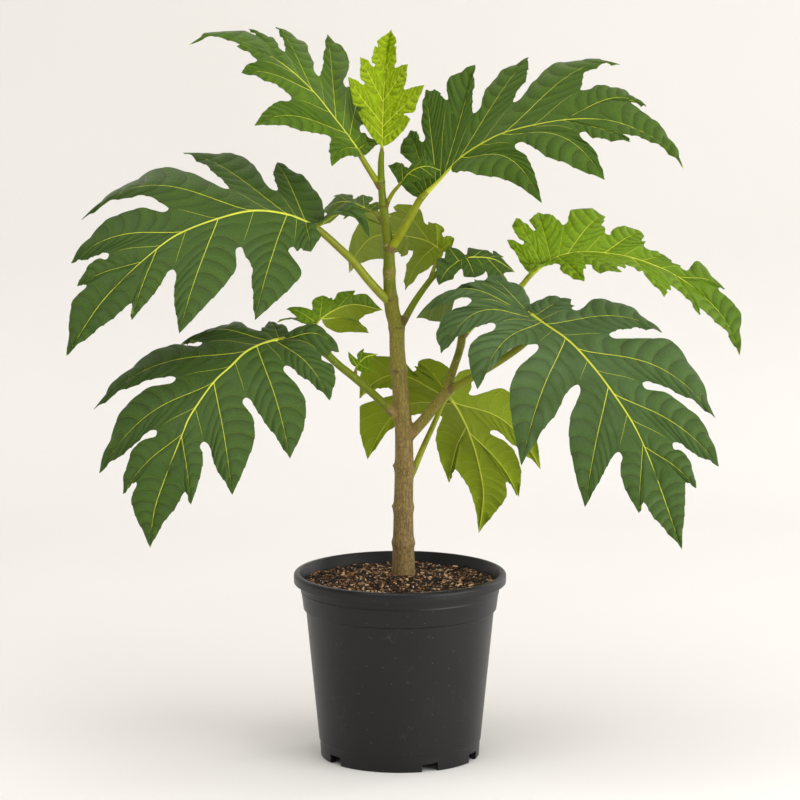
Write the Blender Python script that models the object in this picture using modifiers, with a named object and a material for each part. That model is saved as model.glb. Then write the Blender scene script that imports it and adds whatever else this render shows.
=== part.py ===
"""A young breadnut tree in a black nursery pot, with big lobed leaves.

The tree is built as it grows. A turned pot holds the soil, and the trunk stands
in a plain hole in the soil with its side branches grown on. Each leaf is one
piece: a stalk, a midrib and a blade whose lobes follow its side veins.
Metres, +Z up, +X right and +Y back. The pot's bottom centre is at the origin.
"""

import math

import bmesh
import bpy
from mathutils import Vector, noise
from mathutils.bvhtree import BVHTree

CM = 0.01
MM = 0.001
GAP = 0.3 * MM

POT_RIM_RADIUS = 125 * MM
POT_HEIGHT = 220 * MM
POT_WALL = 2.2 * MM
POT_STEPS = 32
LIP_HEIGHT = 12 * MM
LIP_ROUNDING = 4 * MM
LIP_ROUNDING_STEPS = 4
LIP_DRAFT = 0.3 * MM
LIP_TOP_WIDTH = 1.2 * MM
LIP_INNER_DROP = 1.4 * MM
INNER_STEP = 0.2 * MM
BAND_RADIUS_TOP = 117.7 * MM
BAND_RADIUS_LOW = 113.5 * MM
BAND_BOTTOM = 177 * MM
BODY_RADIUS_TOP = 110.7 * MM
BODY_RADIUS_LOW = 93.5 * MM
BAND_STEP = 1.5 * MM
WALL_STEP = 3 * MM
FOOT_RING_HEIGHT = 19 * MM
FOOT_GROOVE = 0.8 * MM
EDGE = 1 * MM
PAD_SLOPE = 3 * MM
FLOOR_RAISE = 7 * MM
FLOOR_PAD_RADIUS = 56 * MM
CHANNEL_RADIUS = 87 * MM
NOTCH_PAIR_ANGLES = (44, 164, 284)
NOTCH_HALF_SPREAD = 22
NOTCH_WIDTH = 20 * MM
NOTCH_HEIGHT = 10.5 * MM
NOTCH_DEPTH = 14 * MM
DRAIN_RADIUS = 6 * MM
DRAIN_SIDES = 12
DRAIN_LENGTH = 20 * MM
DRAIN_RING_RADIUS = 72 * MM

SOIL_LEVEL = 207 * MM
SOIL_MOUND = 9 * MM
SOIL_MOUND_RADIUS = 45 * MM
SOIL_LUMP = 3.5 * MM
LUMPS_PER_METRE = 70
FINE_LUMPS_PER_METRE = 160
SOIL_RINGS = 8

TRUNK_SIDES = 8
STALK_SIDES = 6
STALK_SPACING = 1.8
RIB_SPACING = 3.2
KNEE_LAP = 0.35
RIB_FULLNESS = 0.75
RIB_TAPER = 0.8
RIB_END_RADIUS = 0.09
RIB_REACH = 0.995
RING_SWELL = 0.13
RING_HALF_HEIGHT = 5 * MM
TRUNK_SPACING = 24 * MM
BRANCH_SPACING = 15 * MM

BLADE_THICKNESS = 0.8 * MM
SEAM_ROWS = 1
MARGIN_ROWS = (0.06, 0.24, 0.6, 1.0)
RIB_CLEARANCES = (0.4 * MM, 0.45 * MM, 0.5 * MM, 0.55 * MM, 0.6 * MM, 0.65 * MM, 0.7 * MM, 0.35 * MM)
VEIN_SLANT = 1.3
SINUS_ROUNDING = 0.28
HALF_WAY = 0.45
OPEN_WAY = 0.75
NEAREST_STEPS = 40
DEFAULT_SINUS = 0.42
DEFAULT_WIDTH = 0.25
TIP_SIDE_SHARE = 0.72
TIP_LOBE_START = 0.3
BAY_LIMITS = (0.2, 0.85)
LOBE_POINT = 1.1
LOBE_WAIST = 1.3
BASAL_SKEW = 0.75
BASAL_ROUNDNESS = 0.8
SHEET_WELD = 0.15 * MM
MESH_WELD = 0.01 * MM
TURN_WELD = 0.05 * MM
ARCH_POWER = 1.5
ARCH_PEAK = 5.38

# The trunk's middle line from the foot in the soil to the tip, in centimetres: x, y, z and radius.
TRUNK_LINE = [
    (0.5, 0.0, 12.0, 1.45), (0.5, 0.0, 19.0, 1.42), (0.4, 0.0, 22.0, 1.38), (0.4, 0.0, 25.5, 1.24),
    (0.4, 0.0, 30.0, 1.14), (0.5, 0.1, 35.0, 1.10), (0.4, 0.1, 39.5, 1.02), (0.1, 0.1, 43.0, 0.97),
    (-0.3, 0.1, 48.0, 0.92), (-0.4, 0.1, 51.0, 0.88), (-0.9, 0.2, 53.0, 0.86), (-1.2, 0.2, 56.0, 0.74),
    (-1.3, 0.2, 60.0, 0.66), (-1.6, 0.3, 62.5, 0.58), (-2.1, 0.3, 67.0, 0.44), (-2.2, 0.4, 70.0, 0.38),
    (-2.1, 0.5, 71.6, 0.30),
]
# Heights of the raised rings that old leaves left on the trunk.
TRUNK_RINGS = [25.5, 29.7, 34.5, 45.9, 51.0, 54.3, 57.6, 60.6, 65.2, 68.0]

# Side branches: x, y, z and radius along each, from inside the trunk to the end knob.
BRANCH_LINES = {
    "branch_right": [
        (0.4, 0.1, 37.5, 0.78), (1.5, 0.0, 38.7, 0.70), (3.0, -0.4, 40.4, 0.64), (4.4, -0.9, 42.4, 0.60),
        (5.4, -1.2, 43.7, 0.62), (6.1, -0.3, 45.8, 0.50), (6.9, 0.8, 48.0, 0.47), (7.2, 1.4, 49.3, 0.50),
        (7.1, 1.5, 50.1, 0.34),
    ],
    "branch_left": [
        (-0.3, 0.1, 40.4, 0.56), (-2.9, -2.0, 43.3, 0.48), (-5.2, -3.4, 45.6, 0.48),
        (-6.9, -4.2, 47.1, 0.46),
        (-8.2, -4.7, 48.4, 0.48), (-9.0, -5.0, 49.2, 0.58),
    ],
    "branch_middle": [
        (-0.3, 0.1, 50.5, 0.50), (0.3, 0.2, 51.5, 0.46), (1.7, 0.8, 53.9, 0.40), (3.2, 1.2, 56.0, 0.36),
        (4.3, 1.4, 57.3, 0.38),
    ],
}

# Each leaf in centimetres. The stalk and the midrib are x, y, z points from the tree to the leaf's tip.
# A lobe is: where its vein leaves the midrib (0 to 1), its tip x, y, z, how far its vein arches up, then
# its half width towards the leaf's base and towards the leaf's tip, as shares of the vein's length, and
# the depth of the bay before it. The tip lobe has one half width for each side.
LEAVES = {
    "leaf_crown": {
        "stalk": [(-2.1, 0.5, 71.2), (-2.1, 0.6, 72.2)], "radius": (0.22, 0.16), "tip_width": (0.46, 0.40),
        "midrib": [(-2.1, 0.6, 72.2), (-2.0, 1.0, 75.0), (-1.9, 1.4, 78.0), (-1.6, 2.0, 81.5),
                   (-1.0, 2.4, 85.5)],
        "left": [(0.08, -4.8, 0.0, 76.2, 0.0, 0.16, 0.2), (0.18, -6.0, -0.6, 79.9, -0.2, 0.26, 0.2, 0.62),
                 (0.37, -4.6, 0.4, 82.1, 0.0, 0.34, 0.24, 0.6),
                 (0.62, -2.9, 1.2, 83.7, 0.0, 0.4, 0.3, 0.6)],
        "right": [(0.06, 1.2, -0.4, 75.4, 0.0, 0.18, 0.24), (0.16, 2.8, -1.0, 78.9, 0.0, 0.3, 0.2, 0.6),
                  (0.38, 0.9, 0.2, 81.4, 0.0, 0.34, 0.24, 0.6),
                  (0.66, -0.4, 1.2, 83.7, 0.0, 0.38, 0.3, 0.6)],
    },
    "leaf_upper_left": {
        "stalk": [(-2.2, 0.3, 67.4), (-2.7, 0.3, 68.1), (-3.9, 0.2, 70.0), (-4.6, 0.1, 71.2)],
        "radius": (0.40, 0.32), "tip_width": (0.14, 0.5),
        "midrib": [(-4.6, 0.1, 71.2), (-5.6, -0.5, 73.0), (-7.5, -1.2, 75.6), (-10.0, -2.0, 78.8),
                   (-13.0, -2.5, 81.6), (-16.5, -3.0, 83.8), (-19.5, -3.6, 85.1), (-21.5, -4.2, 85.4),
                   (-24.0, -5.2, 84.4)],
        "right": [(0.03, -2.4, 2.4, 72.2, 0.5, 0.22), (0.10, -4.6, 6.2, 78.0, 0.6, 0.26, 0.16),
                  (0.20, -8.5, 8.0, 84.5, 0.4, 0.48, 0.09), (0.37, -14.5, 6.2, 85.5, 0.8, 0.46, 0.1),
                  (0.54, -17.5, 3.0, 85.5, 0.5, 0.34, 0.2)],
        "left": [(0.04, -7.8, -5.5, 70.5, 1.0, 0.16, 0.26), (0.12, -16.5, -9.5, 75.6, 1.5, 0.13, 0.15, 0.5),
                 (0.36, -18.0, -7.5, 81.4, 0.8, 0.12, 0.16, 0.5),
                 (0.60, -18.6, -5.0, 84.2, 0.3, 0.2, 0.3, 0.7)],
    },
    "leaf_upper_right": {
        "stalk": [(-1.25, 0.0, 60.1), (-0.4, -0.35, 61.3), (1.2, -0.8, 64.1), (2.4, -1.2, 66.4)],
        "radius": (0.52, 0.42), "tip_width": (0.34, 0.12), "bare": (0.0, 0.15),
        "midrib": [(2.4, -1.2, 66.4), (4.3, -1.6, 68.3), (7.0, -2.6, 71.2), (9.8, -4.0, 73.2),
                   (12.5, -5.0, 74.5),
                   (17.5, -6.8, 75.8), (21.5, -8.0, 76.2), (25.0, -9.0, 75.8), (28.8, -10.2, 74.2),
                   (31.0, -11.0, 72.4), (32.0, -11.8, 71.0)],
        "left": [(0.01, -1.4, 1.6, 69.8, 0.4, 0.16, 0.26), (0.03, 1.2, 4.0, 73.6, 0.4, 0.24, 0.24, 0.5),
                 (0.07, 3.4, 6.4, 77.6, 0.2, 0.1, 0.3, 0.5),
                 (0.11, 8.8, 7.4, 81.0, -0.4, 0.4, 0.06, 0.8), (0.18, 15.0, 6.0, 82.0, 0.6, 0.2, 0.24, 0.5),
                 (0.36, 25.5, 3.0, 81.4, 2.2, 0.34, 0.08, 0.4),
                 (0.56, 28.2, -4.0, 77.2, 1.6, 0.28, 0.2, 0.5)],
        "right": [(0.19, 16.0, -13.0, 67.2, 3.0, 0.22, 0.12, 0.42),
                  (0.35, 23.0, -14.5, 70.0, 2.8, 0.3, 0.12, 0.42),
                  (0.56, 26.0, -12.0, 74.0, 0.4, 0.2, 0.24, 0.6)],
    },
    "leaf_small_top": {
        "stalk": [(-1.7, 0.3, 65.2), (-0.8, -0.5, 66.9), (0.0, -1.2, 67.9)], "radius": (0.28, 0.2),
        "tip_width": (0.3, 0.3),
        "midrib": [(0.0, -1.2, 67.9), (0.9, -2.0, 69.2), (2.0, -2.9, 70.0), (3.2, -3.7, 70.3),
                   (4.6, -4.3, 69.9)],
        "left": [(0.1, 0.2, -1.8, 70.5, 0.1, 0.3), (0.4, 3.2, -2.4, 71.4, 0.1, 0.26)],
        "right": [(0.3, 2.5, -4.6, 68.8, 0.1, 0.26), (0.6, 4.0, -5.4, 69.1, 0.1, 0.26)],
    },
    "leaf_left": {
        "stalk": [(-0.9, 0.2, 53.8), (-2.0, -0.3, 54.8), (-3.8, -1.0, 56.9), (-5.4, -1.6, 59.0),
                  (-6.9, -2.0, 60.5),
                  (-8.2, -2.5, 61.8), (-9.5, -3.0, 63.0)],
        "radius": (0.54, 0.42), "tip_width": (0.26, 0.36), "tip_sinus": (0.42, 0.5),
        "midrib": [(-9.5, -3.0, 63.0), (-12.5, -5.0, 64.8), (-16.5, -7.6, 65.7), (-20.5, -9.8, 65.1),
                   (-25.0, -12.0, 63.6), (-28.0, -13.6, 61.6), (-31.0, -15.0, 59.0), (-34.0, -16.4, 55.8),
                   (-37.5, -18.0, 50.5)],
        "right": [(0.05, -14.3, 3.0, 70.0, 0.4, 0.27, 0.24),
                  (0.12, -25.3, 4.0, 71.0, 1.0, 0.26, 0.15, 0.38),
                  (0.24, -36.5, -6.0, 64.4, 4.3, 0.32, 0.09, 0.4),
                  (0.48, -37.3, -12.0, 60.2, 1.6, 0.25, 0.18, 0.36),
                  (0.64, -36.4, -15.0, 58.0, 0.4, 0.24, 0.24, 0.6)],
        "left": [(0.01, -3.5, -5.4, 62.3, 2.4, 0.26, 0.2), (0.05, -10.2, -7.4, 60.9, 0.5, 0.34, 0.3),
                 (0.12, -16.4, -14.0, 54.0, 1.2, 0.25, 0.15, 0.6),
                 (0.36, -24.8, -17.5, 53.0, 1.0, 0.25, 0.17, 0.36),
                 (0.58, -30.1, -18.0, 54.6, 0.6, 0.21, 0.2, 0.45)],
    },
    "leaf_lower_left": {
        "stalk": [(-8.9, -4.95, 49.1), (-10.0, -5.5, 49.7), (-11.5, -6.2, 50.2), (-13.4, -7.0, 50.7)],
        "radius": (0.46, 0.40), "tip_width": (0.3, 0.36), "tip_sinus": (0.5, 0.6),
        "midrib": [(-13.4, -7.0, 50.7), (-15.3, -9.0, 50.7), (-17.5, -11.2, 50.0), (-19.3, -13.0, 48.5),
                   (-21.2, -14.8, 46.9), (-23.6, -17.5, 43.7), (-24.5, -18.8, 41.7), (-26.0, -20.5, 38.0),
                   (-27.5, -22.0, 33.7), (-28.0, -22.8, 29.5)],
        "right": [(0.02, -17.4, -3.4, 51.8, 0.4, 0.24, 0.3), (0.06, -25.4, -6.0, 49.6, 1.8, 0.3, 0.14, 0.8),
                  (0.18, -35.0, -11.0, 43.2, 3.6, 0.2, 0.15, 0.46),
                  (0.36, -34.0, -17.5, 37.0, 2.2, 0.22, 0.17, 0.42),
                  (0.59, -31.1, -21.0, 35.3, 0.8, 0.26, 0.2, 0.42)],
        "left": [(0.01, -7.0, -7.4, 49.3, 1.8, 0.3, 0.2), (0.04, -8.0, -13.0, 44.6, 2.8, 0.36, 0.2, 0.6),
                 (0.13, -12.4, -18.5, 38.9, 3.0, 0.33, 0.16, 0.46),
                 (0.36, -18.8, -21.5, 35.3, 1.4, 0.27, 0.14, 0.36),
                 (0.60, -23.4, -22.5, 34.4, 0.6, 0.24, 0.18, 0.42)],
    },
    "leaf_inner_left": {
        "stalk": [(-7.9, -4.6, 48.2), (-8.7, -3.2, 49.5), (-9.5, -1.7, 50.8), (-10.0, -0.5, 51.6)],
        "radius": (0.26, 0.2),
        "tip_width": (0.3, 0.16),
        "midrib": [(-10.0, -0.5, 51.6), (-7.7, 2.0, 52.8), (-5.4, 4.5, 53.1), (-2.1, 8.0, 51.9)],
        "left": [(0.02, -13.2, -1.0, 53.3, 0.4, 0.26), (0.08, -9.0, 1.4, 54.6, 0.0, 0.3),
                 (0.34, -5.3, 4.0, 54.8, 0.0, 0.34)],
        "right": [(0.02, -14.3, 0.0, 51.6, 0.4, 0.22), (0.10, -3.7, 7.0, 49.3, 1.0, 0.18)],
    },
    "leaf_behind": {
        "stalk": [(3.5, 1.3, 56.3), (4.1, 2.2, 58.0), (5.1, 3.0, 59.6)], "radius": (0.26, 0.2),
        "tip_width": (0.36, 0.26),
        "midrib": [(5.1, 3.0, 59.6), (3.2, 5.5, 60.5), (0.5, 8.8, 60.7), (-2.1, 11.8, 60.4),
                   (-3.8, 13.8, 59.5),
                   (-5.4, 15.8, 57.2), (-6.1, 17.2, 55.1)],
        "right": [(0.02, 6.4, 3.8, 61.0, 0.2, 0.3, 0.3), (0.06, 4.2, 3.6, 62.8, 0.1, 0.3, 0.3, 0.8),
                  (0.13, -0.8, 6.0, 64.4, 0.8, 0.3, 0.2, 0.6),
                  (0.42, -5.6, 12.0, 62.6, 0.6, 0.34, 0.2, 0.7)],
        "left": [(0.08, 0.6, 7.0, 54.4, 1.0, 0.24, 0.42), (0.34, 0.2, 11.4, 57.8, 0.0, 0.24, 0.3)],
    },
    "leaf_behind_upper": {
        "stalk": [(-2.0, 0.3, 63.2), (-2.6, 0.9, 63.9), (-3.3, 1.5, 64.4)], "radius": (0.26, 0.2),
        "tip_width": (0.3, 0.3),
        "midrib": [(-3.3, 1.5, 64.4), (-4.7, 2.8, 65.0), (-6.4, 4.8, 65.2), (-8.0, 6.6, 64.6),
                   (-9.4, 8.4, 63.2)],
        "right": [(0.04, -2.0, 4.0, 65.2, 0.2, 0.3), (0.12, -4.4, 6.4, 65.8, 0.1, 0.28),
                  (0.42, -7.8, 8.6, 65.4, 0.2, 0.3)],
        "left": [(0.12, -6.6, 2.4, 63.4, 0.3, 0.24), (0.44, -9.2, 5.4, 62.8, 0.2, 0.26)],
    },
    "leaf_inner_right": {
        "stalk": [(4.4, 1.4, 57.3), (5.4, 0.7, 58.0), (6.4, 0.2, 58.6)], "radius": (0.26, 0.2),
        "tip_width": (0.3, 0.3),
        "midrib": [(6.4, 0.2, 58.6), (7.6, 0.4, 59.1), (8.8, 0.8, 59.2), (11.0, 1.6, 58.8),
                   (13.4, 2.4, 57.2)],
        "left": [(0.06, 5.6, 1.0, 60.4, 0.0, 0.5, 0.4), (0.28, 10.2, 2.8, 59.7, 0.2, 0.36, 0.26),
                 (0.52, 12.1, 3.0, 58.9, 0.1, 0.3)],
        "right": [(0.04, 4.5, -1.4, 56.2, 0.5, 0.36, 0.3), (0.18, 8.7, -0.8, 57.0, 0.2, 0.3),
                  (0.5, 12.5, 1.0, 56.2, 0.2, 0.3)],
    },
    "leaf_right": {
        "stalk": [(5.5, -1.2, 43.7), (8.7, -2.4, 45.7), (11.9, -3.2, 47.8), (14.5, -4.0, 49.9),
                  (15.2, -4.5, 51.4),
                  (14.9, -4.6, 52.7), (14.6, -4.8, 53.6)],
        "radius": (0.46, 0.40), "tip_width": (0.28, 0.3), "tip_sinus": (0.66, 0.66),
        "bud": (14.45, -4.2, 53.9, 0.5),
        "midrib": [(14.6, -4.8, 53.6), (16.4, -7.2, 52.7), (19.9, -11.2, 50.6), (24.0, -15.2, 46.0),
                   (27.5, -18.2, 40.3), (31.7, -21.2, 29.0)],
        "left": [(0.01, 10.4, -2.4, 57.5, 0.2, 0.3, 0.2), (0.03, 1.9, -4.5, 52.8, 3.8, 0.6, 0.20, 0.7),
                 (0.05, 4.7, -8.5, 49.3, 3.4, 0.44, 0.18, 0.6),
                 (0.08, 8.8, -12.5, 45.8, 2.2, 0.36, 0.14, 0.6),
                 (0.20, 13.7, -17.5, 37.9, 1.6, 0.29, 0.22, 0.42),
                 (0.43, 20.8, -20.5, 33.7, 0.8, 0.26, 0.15, 0.31),
                 (0.65, 26.8, -21.4, 33.2, 0.2, 0.28, 0.3, 0.45)],
        "right": [(0.04, 19.8, -4.0, 54.9, 0.4, 0.26, 0.2), (0.10, 30.1, -7.0, 51.5, 1.5, 0.21, 0.17, 0.45),
                  (0.26, 35.9, -12.5, 42.5, 2.5, 0.29, 0.15, 0.38),
                  (0.46, 36.1, -16.5, 37.6, 1.4, 0.27, 0.17, 0.38),
                  (0.66, 33.4, -19.0, 35.6, 0.5, 0.26, 0.3, 0.55)],
    },
    "leaf_right_back": {
        "stalk": [(7.3, 1.5, 49.8), (8.8, 1.9, 51.3), (10.5, 2.2, 52.8), (13.8, 3.0, 55.1),
                  (15.3, 3.5, 56.8)],
        "radius": (0.42, 0.32), "tip_width": (0.4, 0.24),
        "midrib": [(15.3, 3.5, 56.8), (17.0, 4.5, 57.9), (19.0, 6.0, 58.7), (21.6, 7.6, 58.9),
                   (25.5, 9.8, 58.3),
                   (29.0, 11.6, 57.2), (33.0, 13.6, 55.2), (36.5, 15.2, 52.4), (39.2, 16.4, 49.2),
                   (41.0, 17.2, 45.0)],
        "left": [(0.02, 12.5, 3.8, 60.8, 0.2, 0.12, 0.2), (0.05, 13.6, 5.2, 63.2, 0.2, 0.3, 0.22, 0.6),
                 (0.09, 16.3, 8.0, 63.5, 0.0, 0.3, 0.4, 0.7),
                 (0.16, 24.4, 12.0, 62.5, 0.8, 0.34, 0.12, 0.85),
                 (0.31, 29.0, 14.0, 60.2, 0.5, 0.22, 0.16, 0.5),
                 (0.46, 32.2, 15.2, 57.0, 0.3, 0.16, 0.2, 0.6),
                 (0.62, 39.1, 16.8, 53.1, 0.6, 0.34, 0.2, 0.8)],
        "right": [(0.06, 15.0, -0.6, 57.4, 0.3, 0.14, 0.2), (0.12, 21.5, 1.6, 56.2, 0.3, 0.3, 0.2),
                  (0.20, 26.0, 4.0, 57.0, 0.0, 0.36, 0.12, 0.6),
                  (0.42, 31.3, 9.0, 53.3, 0.4, 0.16, 0.28, 0.5),
                  (0.60, 35.8, 12.5, 50.6, 0.4, 0.22, 0.3, 0.6)],
    },
    "leaf_low_back": {
        "stalk": [(0.7, 0.1, 32.4), (1.4, 0.2, 33.6), (2.6, 0.8, 36.4), (3.9, 1.4, 39.2), (5.0, 2.2, 41.6),
                  (5.7, 2.6, 42.6)],
        "radius": (0.40, 0.28), "tip_width": (0.28, 0.18), "tip_sinus": (0.6, 0.5),
        "midrib": [(5.7, 2.6, 42.6), (7.1, 6.0, 39.9), (8.4, 10.0, 36.4), (9.4, 13.5, 32.6),
                   (10.1, 16.5, 28.0),
                   (9.6, 18.0, 23.0)],
        "right": [(0.01, 2.2, 4.0, 46.4, 0.4, 0.36, 0.3), (0.03, -4.8, 6.0, 41.6, 2.8, 0.34, 0.16, 0.6),
                  (0.07, -3.9, 11.0, 33.4, 3.4, 0.3, 0.16, 0.64),
                  (0.30, 5.9, 15.0, 29.8, 1.2, 0.26, 0.2, 0.42)],
        "left": [(0.02, 9.2, 4.6, 45.2, 0.3, 0.3, 0.24), (0.06, 16.9, 12.5, 31.9, 2.4, 0.18, 0.14, 0.45),
                 (0.35, 14.4, 16.5, 27.8, 1.0, 0.24, 0.16, 0.42)],
    },
    "leaf_shoot": {
        "stalk": [(-5.2, -3.4, 45.7), (-5.1, -3.6, 47.0)], "radius": (0.2, 0.16), "tip_width": (0.3, 0.3),
        "midrib": [(-5.1, -3.6, 47.0), (-4.4, -3.8, 47.9), (-3.6, -4.0, 48.3), (-2.5, -4.0, 48.5)],
        "left": [(0.06, -6.0, -3.4, 48.7, 0.0, 0.22), (0.26, -4.2, -3.0, 49.0, 0.0, 0.34)],
        "right": [(0.15, -3.2, -4.6, 46.6, 0.0, 0.3)],
    },
}


def material(name, colour, roughness):
    """A Principled material with the part's plain colour."""
    made = bpy.data.materials.new(name)
    made.use_nodes = True
    shader = made.node_tree.nodes["Principled BSDF"]
    shader.inputs["Base Color"].default_value = (*colour, 1.0)
    shader.inputs["Roughness"].default_value = roughness
    return made


def collection(name):
    """A collection of that name in the scene."""
    made = bpy.data.collections.new(name)
    bpy.context.scene.collection.children.link(made)
    return made


def add_object(name, mesh, group, finish=None):
    """Put a mesh in the scene as one object."""
    made = bpy.data.objects.new(name, mesh)
    group.objects.link(made)
    if finish:
        made.data.materials.clear()
        made.data.materials.append(finish)
    return made


def evaluated_mesh(thing):
    """The object's mesh with its modifiers applied and doubled points welded."""
    graph = bpy.context.evaluated_depsgraph_get()
    mesh = bpy.data.meshes.new_from_object(thing.evaluated_get(graph))
    shape = bmesh.new()
    shape.from_mesh(mesh)
    bmesh.ops.remove_doubles(shape, verts=shape.verts, dist=MESH_WELD)
    shape.to_mesh(mesh)
    shape.free()
    return mesh


def smooth_line(points, steps=12):
    """A smooth line through hand-placed points, of any number of values each."""
    first = [2 * a - b for a, b in zip(points[0], points[1])]
    last = [2 * a - b for a, b in zip(points[-1], points[-2])]
    held = [first, *points, last]
    line = []
    for before, start, end, after in zip(held, held[1:], held[2:], held[3:]):
        for step in range(steps):
            u = step / steps
            point = []
            for p, q, r, s in zip(before, start, end, after):
                bend = (2 * p - 5 * q + 4 * r - s) * u ** 2 + (3 * q - p - 3 * r + s) * u ** 3
                point.append(q + 0.5 * ((r - p) * u + bend))
            line.append(point)
    line.append(list(points[-1]))
    return line


class Path:
    """A smooth line read by its share of length."""

    def __init__(self, points):
        self.line = smooth_line(points)
        self.reach = [0.0]
        for here, there in zip(self.line, self.line[1:]):
            self.reach.append(self.reach[-1] + math.dist(here[:3], there[:3]))

    def length(self):
        return self.reach[-1]

    def values_at(self, share):
        """All the values at a share of the length, from 0 to 1."""
        goal = min(max(share, 0.0), 1.0) * self.reach[-1]
        index = 1
        while index < len(self.reach) - 1 and self.reach[index] < goal:
            index += 1
        span = self.reach[index] - self.reach[index - 1]
        part = (goal - self.reach[index - 1]) / span if span else 0.0
        return [a + (b - a) * part for a, b in zip(self.line[index - 1], self.line[index])]

    def at(self, share):
        """The point at a share of the length, in metres."""
        return Vector(self.values_at(share)[:3]) * CM


def tube(name, points, sides, group, finish=None):
    """A round stem along points of x, y, z and radius in metres, as a closed mesh."""
    curve = bpy.data.curves.new(name, "CURVE")
    curve.dimensions = "3D"
    curve.bevel_depth = 1.0
    curve.bevel_resolution = sides // 2 - 2
    curve.use_fill_caps = True
    spline = curve.splines.new("POLY")
    spline.points.add(len(points) - 1)
    for point, (x, y, z, radius) in zip(spline.points, points):
        point.co = (x, y, z, 1.0)
        point.radius = radius
    drawn = bpy.data.objects.new(name + "_line", curve)
    group.objects.link(drawn)
    bpy.context.view_layer.update()
    mesh = evaluated_mesh(drawn)
    bpy.data.objects.remove(drawn)
    return add_object(name, mesh, group, finish)


def is_sound(mesh):
    """Whether the mesh is closed, in one piece and doesn't cross itself."""
    shape = bmesh.new()
    shape.from_mesh(mesh)
    bmesh.ops.triangulate(shape, faces=shape.faces)
    shape.faces.ensure_lookup_table()
    closed = all(len(edge.link_faces) == 2 for edge in shape.edges)
    corners = [set(face.verts) for face in shape.faces]
    tree = BVHTree.FromBMesh(shape)
    crossed = any(not corners[here] & corners[there] for here, there in tree.overlap(tree))
    seen = {shape.verts[:][0]}
    ahead = list(seen)
    while ahead:
        for edge in ahead.pop().link_edges:
            fresh = set(edge.verts) - seen
            seen |= fresh
            ahead.extend(fresh)
    whole = len(seen) == len(shape.verts)
    shape.free()
    return closed and whole and not crossed


def boolean(target, operation, others):
    """Cut the others from the target, or join them to it, and apply that."""
    held = bpy.data.collections.new("held")
    bpy.context.scene.collection.children.link(held)
    for other in others:
        held.objects.link(other)
    step = target.modifiers.new(operation.lower(), "BOOLEAN")
    step.operation = operation
    step.operand_type = "COLLECTION"
    step.collection = held
    for solver in ("EXACT", "MANIFOLD"):
        step.solver = solver
        bpy.context.view_layer.update()
        mesh = evaluated_mesh(target)
        if is_sound(mesh):
            break
    target.modifiers.clear()
    target.data = mesh
    for other in others:
        bpy.data.objects.remove(other)
    bpy.data.collections.remove(held)


def turned(name, profile, steps, group, finish=None):
    """A shape turned round Z from its x, z profile, run top to bottom down its outer side."""
    mesh = bpy.data.meshes.new(name)
    shape = bmesh.new()
    corners = [shape.verts.new((x, 0, z)) for x, z in profile]
    for here, there in zip(corners, corners[1:]):
        shape.edges.new((here, there))
    shape.to_mesh(mesh)
    shape.free()
    made = add_object(name, mesh, group, finish)
    screw = made.modifiers.new("turn", "SCREW")
    screw.steps = screw.render_steps = steps
    screw.use_merge_vertices = True
    screw.merge_threshold = TURN_WELD
    bpy.context.view_layer.update()
    mesh = evaluated_mesh(made)
    made.modifiers.clear()
    made.data = mesh
    return made


def pot_inner_radius(height):
    """The pot's inner radius at a height, following its outer steps."""
    if height > BAND_BOTTOM:
        share = (height - BAND_BOTTOM) / (POT_HEIGHT - LIP_HEIGHT - BAND_BOTTOM)
        return BAND_RADIUS_LOW + (BAND_RADIUS_TOP - BAND_RADIUS_LOW) * min(share, 1.0) - POT_WALL
    share = height / BAND_BOTTOM
    return BODY_RADIUS_LOW + (BODY_RADIUS_TOP - BODY_RADIUS_LOW) * share - POT_WALL


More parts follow.
